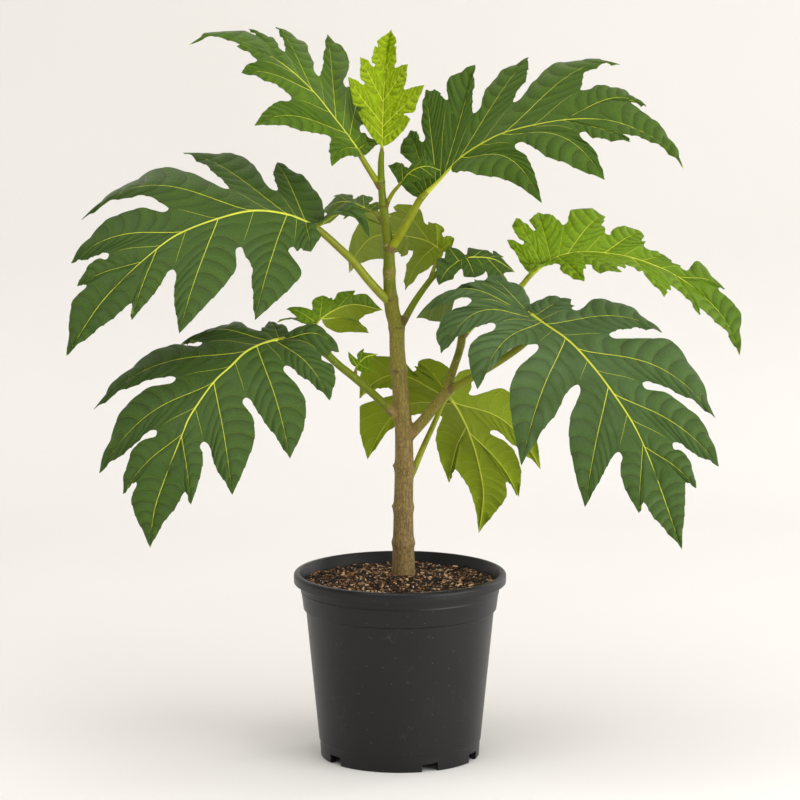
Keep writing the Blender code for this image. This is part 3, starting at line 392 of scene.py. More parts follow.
def turned(profile, steps):
    """A bmesh turned once round the axis from a profile of x and z."""
    shape = bmesh.new()
    corners = [shape.verts.new((x, 0, z)) for x, z in profile]
    edges = [shape.edges.new(pair) for pair in zip(corners, corners[1:])]
    bmesh.ops.spin(shape, geom=corners + edges, cent=(0, 0, 0), axis=(0, 0, 1),
                   angle=math.tau, steps=steps, use_merge=True)
    bmesh.ops.remove_doubles(shape, verts=shape.verts, dist=0.01 * MM)
    bmesh.ops.dissolve_degenerate(shape, edges=shape.edges, dist=0.01 * MM)
    bmesh.ops.recalc_face_normals(shape, faces=shape.faces)
    for face in shape.faces:
        face.smooth = True
    return shape


top = POT_HEIGHT
lip_low = top - LIP_HEIGHT
inner_edge = (BAND_RADIUS_TOP - INNER_STEP, top - LIP_INNER_DROP)
floor = FLOOR_RAISE + POT_WALL
lip = [
    (RIM_RADIUS - LIP_ROUNDING * (1 - math.sin(angle)), top - LIP_ROUNDING * (1 - math.cos(angle)))
    for angle in (math.pi / 2 * step / LIP_STEPS for step in range(LIP_STEPS + 1))
]
line_radius = band_radius(BAND_LINE)
outside = [
    *lip,
    (RIM_RADIUS - LIP_DRAFT, lip_low),
    (BAND_RADIUS_TOP, lip_low),
    (band_radius(BAND_LINE + 3 * LINE_HEIGHT), BAND_LINE + 3 * LINE_HEIGHT),
    (line_radius + LINE_HEIGHT, BAND_LINE + LINE_HEIGHT),
    (line_radius + LINE_HEIGHT, BAND_LINE - LINE_HEIGHT),
    (band_radius(BAND_LINE - 2 * LINE_HEIGHT), BAND_LINE - 2 * LINE_HEIGHT),
    (BAND_RADIUS_LOW, BAND_BOTTOM),
    (BODY_RADIUS_TOP, BAND_BOTTOM - BAND_STEP),
    (body_radius(FOOT_RING_HEIGHT + EDGE), FOOT_RING_HEIGHT + EDGE),
    (body_radius(FOOT_RING_HEIGHT) - FOOT_GROOVE, FOOT_RING_HEIGHT),
    (BODY_RADIUS_LOW, EDGE),
    (BODY_RADIUS_LOW - EDGE, 0),
    (CHANNEL_RADIUS + EDGE, 0),
    (CHANNEL_RADIUS, FLOOR_RAISE),
    (FLOOR_PAD_RADIUS + PAD_SLOPE, FLOOR_RAISE),
    (FLOOR_PAD_RADIUS, 0),
    (0, 0),
]
inside = [
    (0, POT_WALL),
    (FLOOR_PAD_RADIUS - EDGE, POT_WALL),
    (FLOOR_PAD_RADIUS - EDGE + PAD_SLOPE, floor),
    (pot_inner_radius(floor), floor),
    (pot_inner_radius(BAND_BOTTOM - EDGE), BAND_BOTTOM - INNER_SLOPE),
    (pot_inner_radius(BAND_BOTTOM + EDGE), BAND_BOTTOM),
    inner_edge,
]
profile = [
    inner_edge,
    (BAND_RADIUS_TOP + LIP_TOP_WIDTH, top),
    *eased(outside, CORNER_EASE),
    *eased(inside, CORNER_EASE),
]
pot = new_object("pot_shell", turned(profile, POT_STEPS))
print("pot faces:", len(pot.data.polygons))

# %% [markdown]
# Six notches open the foot ring, in pairs, and a drain hole lies behind each. They are
# cut with plain blocks and pins through a Boolean, which is how the mould makes them
# too: a solid core where no plastic may flow. The result is applied, and the cutters go.

# %% Cut the notches and drains
NOTCH_PAIR_ANGLES = (44, 164, 284)
NOTCH_HALF_SPREAD = 22
NOTCH_SIZE = (14 * MM, 20 * MM, 21 * MM)
DRAIN_RADIUS = 6 * MM
DRAIN_RING_RADIUS = 72 * MM


def applied(thing):
    """Apply an object's modifiers to its mesh."""
    graph = bpy.context.evaluated_depsgraph_get()
    graph.update()
    mesh = bpy.data.meshes.new_from_object(thing.evaluated_get(graph))
    thing.modifiers.clear()
    thing.data = mesh


cores = bmesh.new()
for pair in NOTCH_PAIR_ANGLES:
    for side in (-1, 1):
        turn = Matrix.Rotation(math.radians(pair + side * NOTCH_HALF_SPREAD - 90), 4, "Z")
        notch = turn @ Matrix.Translation((BODY_RADIUS_LOW, 0, 0)) @ Matrix.Diagonal((*NOTCH_SIZE, 1))
        drain = turn @ Matrix.Translation((DRAIN_RING_RADIUS, 0, FLOOR_RAISE))
        bmesh.ops.create_cube(cores, size=1, matrix=notch)
        bmesh.ops.create_cone(cores, cap_ends=True, segments=32, radius1=DRAIN_RADIUS,
                              radius2=DRAIN_RADIUS, depth=20 * MM, matrix=drain)
cutter = new_object("cores", cores)
cut = pot.modifiers.new("cut", "BOOLEAN")
cut.operation = "DIFFERENCE"
cut.solver = "EXACT"
cut.object = cutter
applied(pot)
bpy.data.objects.remove(cutter)
pot.data.set_sharp_from_angle(angle=math.radians(38))
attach(pot, "root")
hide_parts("pot")
print("pot faces after cutting:", len(pot.data.polygons))

# %% [markdown]
# ### Dust and scratches
# Handling leaves pale dust specks and hair-thin scratches on black plastic. The marks
# are a node group of their own with a strength for each kind, so any other worn plastic
# could use them too. Specks are the small centres of a Voronoi pattern. Scratches are
# the thin level lines of a stretched noise, kept only in patches.

# %% The wear group
wear, given, out = new_group(
    "wear",
    {"Vector": ("Vector", None), "Specks": ("Float", 1.0), "Scratches": ("Float", 1.0)},
    {"Dust": "Float", "Scratch": "Float"},
)
cells = add(wear, "TexVoronoi", {"Vector": given["Vector"], "Scale": 210.0}, feature="F1")
speck = times(wear, between(wear, cells.outputs["Distance"], 0.13, 0.05), few(wear, cells, 0.72, 0.86))
field = clouds(wear, drawn_out(wear, given["Vector"], (90.0, 90.0, 22.0), (0.3, 0.5, 0.2)), 1.0, 1.0)
level = sum_up(wear, "ABSOLUTE", minus(wear, field, 0.5))
patch = clouds(wear, given["Vector"], 24.0, 2.0)
thin = times(wear, between(wear, level, 0.006, 0.002), between(wear, patch, 0.56, 0.68))
fill(wear, out, {
    "Dust": times(wear, speck, given["Specks"]),
    "Scratch": times(wear, thin, given["Scratches"]),
})
print("group sockets:", [item.name for item in wear.interface.items_tree])

# %% [markdown]
# The plastic itself is charcoal with a satin skin. A faint grain from the mould breaks
# up the sheen, and the dust is paler and duller than the wall it lies on.

# %% The pot's plastic
plastic, tree, shader = new_material("pot_plastic")
place = object_place(tree)
marks = use_group(tree, wear, {"Vector": place, "Specks": 0.7, "Scratches": 0.12})
cloud = clouds(tree, place, 14.0, 4.0)
tone = ramp(tree, cloud, [(0.3, (0.0018, 0.0015, 0.002)), (0.7, (0.004, 0.0035, 0.0042))])
both = sum_up(tree, "ADD", marks["Dust"], marks["Scratch"], clamp=True)
rough = plus(tree, times(tree, cloud, 0.1), 0.36)
grain = times(tree, clouds(tree, place, 900.0, 2.0), 0.25)
fill(tree, shader, {
    "Base Color": mix_colours(tree, both, tone, (0.20, 0.19, 0.17, 1)),
    "Roughness": plus(tree, rough, times(tree, both, 0.3)),
    "Specular IOR Level": 0.38,
    "Normal": bumped(tree, minus(tree, grain, marks["Scratch"]), 0.25, 0.0003),
})
dress(pot, plastic)
print("pot finish:", plastic.name)

# %% [markdown]
# ## Lines that stems and veins follow
# Trunk, stalks, midribs and veins all follow a few given points. A smooth line
# through them is read by its share of length, so any piece can ask where it is a
# third of the way along. A tube is then a flat grid rolled round such a line.

# %% Smooth lines


def limited(value, low, high):
    """A value kept between two others."""
    return min(max(value, low), high)


def span_at(reach, goal):
    """The span of a line that holds a goal, as its end's index, and how far along it the goal is."""
    index = limited(bisect.bisect_left(reach, goal), 1, len(reach) - 1)
    span = reach[index] - reach[index - 1]
    part = (goal - reach[index - 1]) / span if span else 0.0
    return index, part


def smooth_line(points, steps=12):
    """A smooth line through given points, of any number of values each."""
    first = [2 * a - b for a, b in zip(points[0], points[1])]
    last = [2 * a - b for a, b in zip(points[-1], points[-2])]
    held = [first, *points, last]
    line = []
    for before, start, end, after in zip(held, held[1:], held[2:], held[3:]):
        for step in range(steps):
            u = step / steps
            point = []
            for p, q, r, s in zip(before, start, end, after):
                bend = (2 * p - 5 * q + 4 * r - s) * u ** 2 + (3 * q - p - 3 * r + s) * u ** 3
                point.append(q + 0.5 * ((r - p) * u + bend))
            line.append(point)
    line.append(list(points[-1]))
    return line


class Path:
    """A smooth line read by its share of length."""

    def __init__(self, points):
        self.line = smooth_line(points)
        self.reach = [0.0]
        for here, there in zip(self.line, self.line[1:]):
            self.reach.append(self.reach[-1] + math.dist(here[:3], there[:3]))

    def length(self):
        """The line's length, in the points' own unit."""
        return self.reach[-1]

    def values_at(self, share):
        """All the values at a share of the length, from 0 to 1."""
        index, part = span_at(self.reach, limited(share, 0.0, 1.0) * self.reach[-1])
        return [a + (b - a) * part for a, b in zip(self.line[index - 1], self.line[index])]

    def at(self, share):
        """The point at a share of the length, in metres."""
        return Vector(self.values_at(share)[:3]) * CM


def lay_grid(shape, columns, rows, place):
    """A grid of faces whose corners go where place(column, row) says, and its corners' places."""
    made = bmesh.ops.create_grid(shape, x_segments=columns, y_segments=rows, size=0.5)
    spots = {}
    for corner in made["verts"]:
        column = round((corner.co.x + 0.5) * columns)
        row = round((corner.co.y + 0.5) * rows)
        spots[corner] = (column, row)
        corner.co = place(column, row)
    return spots


def rings_along(points):
    """Two directions square to the line at each point, carried along it without twist."""
    sides = []
    side = Vector((1, 0, 0))
    for index in range(len(points)):
        ahead = points[min(index + 1, len(points) - 1)] - points[max(index - 1, 0)]
        ahead.normalize()
        side = (side - ahead * side.dot(ahead)).normalized()
        sides.append((side.copy(), ahead.cross(side)))
    return sides


def roll_tube(shape, points, radii, sides):
    """A closed round tube along points, each with its radius. Returns its corners' places."""
    frames = rings_along(points)
    ends = (points[0], *points, points[-1])

    def place(column, row):
        if row in (0, len(points) + 1):
            return ends[row]
        across, up = frames[row - 1]
        angle = math.tau * column / sides
        return ends[row] + (across * math.cos(angle) + up * math.sin(angle)) * radii[row - 1]

    return lay_grid(shape, sides, len(points) + 1, place)


print("line helpers ready")

# %% [markdown]
# ## The soil
# Potting mix is dark crumbly peat with shreds of pine bark, thin root fibres and a few
# white grains of perlite. The peat is one closed body that fills the pot, with a lumpy
# top. Its lumps come from noise, read at each point, because a scan of soil has no
# pattern to copy.

# %% Fill the pot with peat
SOIL_LEVEL = 207 * MM
SOIL_MOUND = 12 * MM
SOIL_MOUND_RADIUS = 45 * MM
SOIL_LUMP = 3.5 * MM
SOIL_CRUMB = 1.6 * MM
GAP = 0.3 * MM
SOIL_RINGS = 66
SOIL_STEPS = 200


def soil_height(x, y):
    """The soil's surface: a low mound at the trunk with lumps of bark and peat."""
    mound = SOIL_MOUND * math.exp(-(math.hypot(x, y) / SOIL_MOUND_RADIUS) ** 2)
    lump = noise.noise(Vector((x, y, 0)) * 70)
    lump += 0.5 * noise.noise(Vector((x, y, 1)) * 160)
    return SOIL_LEVEL + mound + SOIL_LUMP * lump


def crumb_height(x, y):
    """The same surface with the finer crumbs of peat."""
    fine = noise.noise(Vector((x, y, 2)) * 330) + 0.6 * noise.noise(Vector((x, y, 3)) * 620)
    return soil_height(x, y) + SOIL_CRUMB * fine


edge = pot_inner_radius(SOIL_LEVEL) - GAP
surface = [(edge * ring / SOIL_RINGS, SOIL_LEVEL) for ring in range(SOIL_RINGS + 1)]
side = [
    (pot_inner_radius(BAND_BOTTOM + EDGE) - GAP, BAND_BOTTOM),
    (pot_inner_radius(BAND_BOTTOM - EDGE) - GAP, BAND_BOTTOM - INNER_SLOPE),
    (pot_inner_radius(floor) - 2 * GAP, floor + GAP),
    (FLOOR_PAD_RADIUS - EDGE + PAD_SLOPE - GAP, floor + GAP),
    (FLOOR_PAD_RADIUS - EDGE - 2 * GAP, POT_WALL + GAP),
    (0, POT_WALL + GAP),
]
peat = turned(surface + side, SOIL_STEPS)
for corner in peat.verts:
    if corner.co.z > SOIL_LEVEL - EDGE:
        corner.co.z = crumb_height(corner.co.x, corner.co.y)
soil = new_object("soil_peat", peat)
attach(soil, "root")
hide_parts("soil")
print("soil faces:", len(soil.data.polygons))

# %% [markdown]
# Bark shreds lie thickly on the peat. Each is a small block with its corners pushed
# about, so no two are alike, and it carries its own shade from almost black to tan.
# With a fixed seed they fall in the same places on every run. A block of six faces is
# enough for each, since there are thousands of them.

# %% Scatter the bark
CHIPS = 4200
TRUNK_X = 5 * MM
TRUNK_CLEARANCE = 15 * MM
CHIP_TONES = (0.06, 0.12, 0.3, 0.62, 1.0)
random.seed(7)


def scattered(margin):
    """A random place on the soil, clear of the pot's wall and the trunk."""
    while True:
        x, y = (random.uniform(-edge, edge) for _ in range(2))
        if math.hypot(x, y) < edge - margin and math.hypot(x - TRUNK_X, y) > TRUNK_CLEARANCE:
            return x, y


def lying(x, y, lift, tilt):
    """A matrix that lays a piece on the soil, turned at random."""
    turn = Matrix.Rotation(random.uniform(0, math.tau), 4, "Z")
    lean = Matrix.Rotation(random.uniform(-tilt, tilt), 4, "X")
    lean = lean @ Matrix.Rotation(random.uniform(-tilt, tilt), 4, "Y")
    return Matrix.Translation((x, y, crumb_height(x, y) + lift)) @ turn @ lean


chips = bmesh.new()
shade = chips.verts.layers.float.new("shade")
for _ in range(CHIPS):
    length = random.uniform(1.8, 6.0) * MM
    width = random.uniform(0.9, 2.6) * MM
    thick = random.uniform(0.4, 1.2) * MM
    x, y = scattered(4 * MM)
    place = lying(x, y, random.uniform(-0.4, 0.9) * MM, 0.5)
    made = bmesh.ops.create_cube(chips, size=1, matrix=Matrix.Diagonal((length, width, thick, 1)))
    tone = random.choice(CHIP_TONES) * random.uniform(0.6, 1.2)
    for corner in made["verts"]:
        corner[shade] = tone
        push = [random.uniform(-0.28, 0.28) * size for size in (length, width, thick)]
        corner.co = place @ (corner.co + Vector(push))
bark_chips = new_object("soil_bark_chips", chips)
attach(bark_chips, "root")
print("chips:", CHIPS, "faces:", len(bark_chips.data.polygons))

# %% [markdown]
# Root and bark fibres lie between the shreds. Each is a thin tube along a short line
# that bends once, and it keeps close to the soil.

# %% Lay the fibres
FIBRES = 170
FIBRE_POINTS = 6
FIBRE_STEP = 1.6
FIBRE_SIDES = 5
threads = bmesh.new()
shade = threads.verts.layers.float.new("shade")
for _ in range(FIBRES):
    x, y = scattered(12 * MM)
    heading = random.uniform(0, math.tau)
    turn = random.uniform(-0.5, 0.5)
    line = []
    for _ in range(FIBRE_POINTS):
        line.append(Vector((x, y, crumb_height(x, y) + random.uniform(0.3, 1.6) * MM)))
        x += math.cos(heading) * FIBRE_STEP * MM
        y += math.sin(heading) * FIBRE_STEP * MM
        heading += turn
    radius = random.uniform(0.16, 0.34) * MM
    spots = roll_tube(threads, line, [radius] * len(line), FIBRE_SIDES)
    tone = random.uniform(0.35, 0.95)
    for corner in spots:
        corner[shade] = tone
fibres = new_object("soil_fibres", threads)
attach(fibres, "root")
print("fibres:", FIBRES, "faces:", len(fibres.data.polygons))

# %% [markdown]
# The white grains are perlite, a light volcanic glass. A rough ball with its points
# moved in and out by chance is close to a real grain at this size.

# %% Scatter the perlite
GRAINS = 80
grains = bmesh.new()
for _ in range(GRAINS):
    radius = random.uniform(0.6, 1.45) * MM
    x, y = scattered(4 * MM)
    place = lying(x, y, 0.4 * MM, 0.5)
    made = bmesh.ops.create_icosphere(grains, subdivisions=1, radius=radius)
    for corner in made["verts"]:
        corner.co = place @ (corner.co * random.uniform(0.7, 1.15))
perlite = new_object("soil_perlite", grains)
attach(perlite, "root")
print("grains:", GRAINS)

# %% [markdown]
# ## The trunk
# The young trunk is woody and brown at the foot and green at the top. Raised rings mark
# where old leaves stood, and small knobs sit near them. Three side branches leave it, each
# out of a collar. The tubes are melted into one skin by a voxel remesh, which rounds the
# forks as grown wood does, where a plain union would leave sharp creases.

# %% The trunk's lines
# The trunk's middle line from the foot in the soil to the tip, in centimetres: x, y, z and radius.
TRUNK_LINE = [
    (0.5, 0.0, 12.0, 1.45), (0.5, 0.0, 19.0, 1.42), (0.4, 0.0, 22.0, 1.38), (0.4, 0.0, 25.5, 1.24),
    (0.4, 0.0, 30.0, 1.14), (0.5, 0.1, 35.0, 1.10), (0.4, 0.1, 39.5, 1.02), (0.1, 0.1, 43.0, 0.97),
    (-0.3, 0.1, 48.0, 0.92), (-0.4, 0.1, 51.0, 0.88), (-0.9, 0.2, 53.0, 0.86), (-1.2, 0.2, 56.0, 0.74),
    (-1.3, 0.2, 60.0, 0.66), (-1.6, 0.3, 62.5, 0.58), (-2.1, 0.3, 67.0, 0.44), (-2.2, 0.4, 70.0, 0.38),
    (-2.1, 0.5, 71.6, 0.30),
]
# Heights of the raised rings that old leaves left on the trunk.
TRUNK_RINGS = [25.5, 29.7, 34.5, 45.9, 51.0, 54.3, 57.6, 60.6, 65.2, 68.0]

# Side branches: x, y, z and radius along each, from inside the trunk to the end knob.
BRANCH_LINES = {
    "branch_right": [
        (0.4, 0.1, 37.5, 0.78), (1.5, 0.0, 38.7, 0.70), (3.0, -0.4, 40.4, 0.64), (4.4, -0.9, 42.4, 0.60),
        (5.4, -1.2, 43.7, 0.62), (6.1, -0.3, 45.8, 0.50), (6.9, 0.8, 48.0, 0.47), (7.2, 1.4, 49.3, 0.50),
        (7.1, 1.5, 50.1, 0.34),
    ],
    "branch_left": [
        (-0.3, 0.1, 40.4, 0.56), (-2.9, -2.0, 43.3, 0.48), (-5.2, -3.4, 45.6, 0.48),
        (-6.9, -4.2, 47.1, 0.46), (-8.2, -4.7, 48.4, 0.48), (-9.0, -5.0, 49.2, 0.58),
    ],
    "branch_middle": [
        (-0.3, 0.1, 50.5, 0.50), (0.3, 0.2, 51.5, 0.46), (1.7, 0.8, 53.9, 0.40), (3.2, 1.2, 56.0, 0.36),
        (4.3, 1.4, 57.3, 0.38),
    ],
}
RING_SWELL = 0.13
RING_HALF_HEIGHT = 5 * MM
TRUNK_SPACING = 2 * MM
TRUNK_SIDES = 40
# Knobs and bud stubs: x, y, z and radius in centimetres.
KNOBS = [
    (-0.75, -0.35, 29.9, 0.24), (1.45, -0.1, 29.9, 0.22), (-0.1, -0.95, 29.8, 0.26),
    (-0.62, -0.2, 34.7, 0.26), (1.55, -0.1, 34.6, 0.28), (0.1, -0.95, 34.7, 0.24),
    (0.0, -0.95, 37.3, 0.2), (1.1, -0.75, 38.4, 0.26), (0.3, -0.9, 40.4, 0.22),
    (0.3, -0.8, 41.0, 0.16), (-0.75, -0.7, 40.6, 0.3), (0.75, 0.1, 46.0, 0.2),
    (1.5, -0.1, 25.6, 0.18), (-0.8, -0.3, 25.6, 0.18), (-1.5, 0.0, 57.8, 0.3),
    (-0.75, -0.2, 60.6, 0.24), (-1.75, -0.3, 60.7, 0.2), (-1.4, -0.3, 65.3, 0.2),
    (-2.4, -0.1, 68.0, 0.24), (5.3, -1.7, 43.6, 0.3), (6.2, -0.8, 44.4, 0.22),
]


def swollen(radius, height):
    """The trunk's radius with its raised rings."""
    swell = sum(math.exp(-((height - ring) * CM / RING_HALF_HEIGHT) ** 2) for ring in TRUNK_RINGS)
    return radius * (1 + RING_SWELL * min(swell, 1.0)) * CM


def stem_line(line, ringed):
    """Points and radii in metres along a trunk or branch line."""
    path = Path(line)
    steps = round(path.length() * CM / TRUNK_SPACING)
    points, radii = [], []
    for step in range(steps + 1):
        x, y, height, radius = path.values_at(step / steps)
        points.append(Vector((x, y, height)) * CM)
        radii.append(swollen(radius, height) if ringed else radius * CM)
    return points, radii


wood = bmesh.new()
for name, line in {"trunk": TRUNK_LINE, **BRANCH_LINES}.items():
    points, radii = stem_line(line, name == "trunk")
    roll_tube(wood, points, radii, TRUNK_SIDES)
for *centre, radius in KNOBS:
    made = bmesh.ops.create_icosphere(wood, subdivisions=3, radius=radius * CM)
    for corner in made["verts"]:
        corner.co = Vector(centre) * CM + corner.co * (1 + 0.3 * noise.noise(corner.co * 900))
bmesh.ops.remove_doubles(wood, verts=wood.verts, dist=0.001 * MM)
bmesh.ops.recalc_face_normals(wood, faces=wood.faces)
trunk = new_object("trunk_wood", wood)
print("trunk tubes:", len(trunk.data.polygons))

# %% [markdown]
# After the remesh every point of the skin learns two things, which the bark reads later:
# how near it is to a ring or to the collar of a side branch, and how old its wood is.
# Then the skin is roughened. Low ridges run along the stem, and finer bumps break them.

# %% Melt the wood together and roughen it
BARK_VOXEL = 0.95 * MM
BARK_PASSES = 3
RIDGE = 0.1 * MM
# The trunk's own skin is nearer to its middle line than this.
TRUNK_REACH = 16 * MM
RING_FADE = 2.4 * MM
RING_WANDER = 1.5 * MM
# A branch's collar sits this far along it, where it comes out of the trunk's skin, in centimetres.
COLLAR_PLACES = {"branch_right": 1.2, "branch_left": 1.5, "branch_middle": 1.4}
COLLAR_RADIUS = 6 * MM
COLLAR_FADE = 3.2 * MM
# The wood is green at the upper height in centimetres, and brown this far below it.
GREEN_HEIGHT = 70
BROWNING = 45
# A branch turns greener from this distance to the trunk's middle line on, over this span.
BRANCH_START = 11 * MM
BRANCH_SPAN = 14 * MM
GREENER = 0.42
# The right branch is the oldest and the least green, in the skin this near its middle line.
OLD_BRANCH_REACH = 9 * MM
OLD_BRANCH_GREENER = 0.12


def smooth_corners(shape, corners, passes):
    """Ease corners towards their neighbours."""
    for _ in range(passes):
        bmesh.ops.smooth_vert(shape, verts=corners, factor=0.5,
                              use_axis_x=True, use_axis_y=True, use_axis_z=True)


def nearest(points, spot):
    """The distance from a spot to the nearest of some points."""
    return min((spot - point).length for point in points)


melt = trunk.modifiers.new("melt", "REMESH")
melt.mode = "VOXEL"
melt.voxel_size = BARK_VOXEL
applied(trunk)
skin = bmesh.new()
skin.from_mesh(trunk.data)
smooth_corners(skin, skin.verts, BARK_PASSES)
skin.normal_update()
ring_layer = skin.verts.layers.float.new("ring")
age_layer = skin.verts.layers.float.new("age")
middle = [Vector(point[:3]) * CM for point in smooth_line(TRUNK_LINE)]
old_branch = [Vector(point[:3]) * CM for point in smooth_line(BRANCH_LINES["branch_right"])]
collars = []
for name, along in COLLAR_PLACES.items():
    branch_path = Path(BRANCH_LINES[name])
    collars.append(branch_path.at(along / branch_path.length()))
for corner in skin.verts:
    spot = corner.co
    near = nearest(middle, spot)
    wander = RING_WANDER * noise.noise(spot * 90)
    offset = min(abs(spot.z - ring * CM + wander) for ring in TRUNK_RINGS)
    strength = 0.75 + 0.6 * noise.noise(spot * 210) if near < TRUNK_REACH else 0.0
    outside = max(nearest(collars, spot) - COLLAR_RADIUS, 0)
    ring = strength * math.exp(-(offset / RING_FADE) ** 2)
    corner[ring_layer] = max(ring, math.exp(-(outside / COLLAR_FADE) ** 2))
    branch = limited((near - BRANCH_START) / BRANCH_SPAN, 0, 1)
    old = (GREEN_HEIGHT - spot.z / CM) / BROWNING
    greener = OLD_BRANCH_GREENER if nearest(old_branch, spot) < OLD_BRANCH_REACH else GREENER
    corner[age_layer] = limited(old - greener * branch, 0.04, 1)
    ridges = noise.noise(Vector((spot.x * 620, spot.y * 620, spot.z * 55)))
    fine = noise.noise(spot * 900)
    woody = limited(old * 1.6, 0.15, 1)
    corner.co += corner.normal * RIDGE * woody * (ridges * 1.3 + fine + 1.2 * corner[ring_layer] * fine)
for face in skin.faces:
    face.smooth = True
skin.to_mesh(trunk.data)
skin.free()
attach(trunk, "root")
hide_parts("trunk")
print("trunk faces:", len(trunk.data.polygons))

# %% [markdown]
# ## The leaves
# A breadnut leaf is one blade cut into lobes. Each lobe has a main vein that leaves the
# midrib, and its two halves reach from that vein to the edge, or to the next lobe while
# they are still joined. So a blade is a row of half lobes, each a grid between two
# curves. That keeps every grid line along a real vein, which a flat outline filled
# with faces could not do, and the quilting between the veins follows from it.

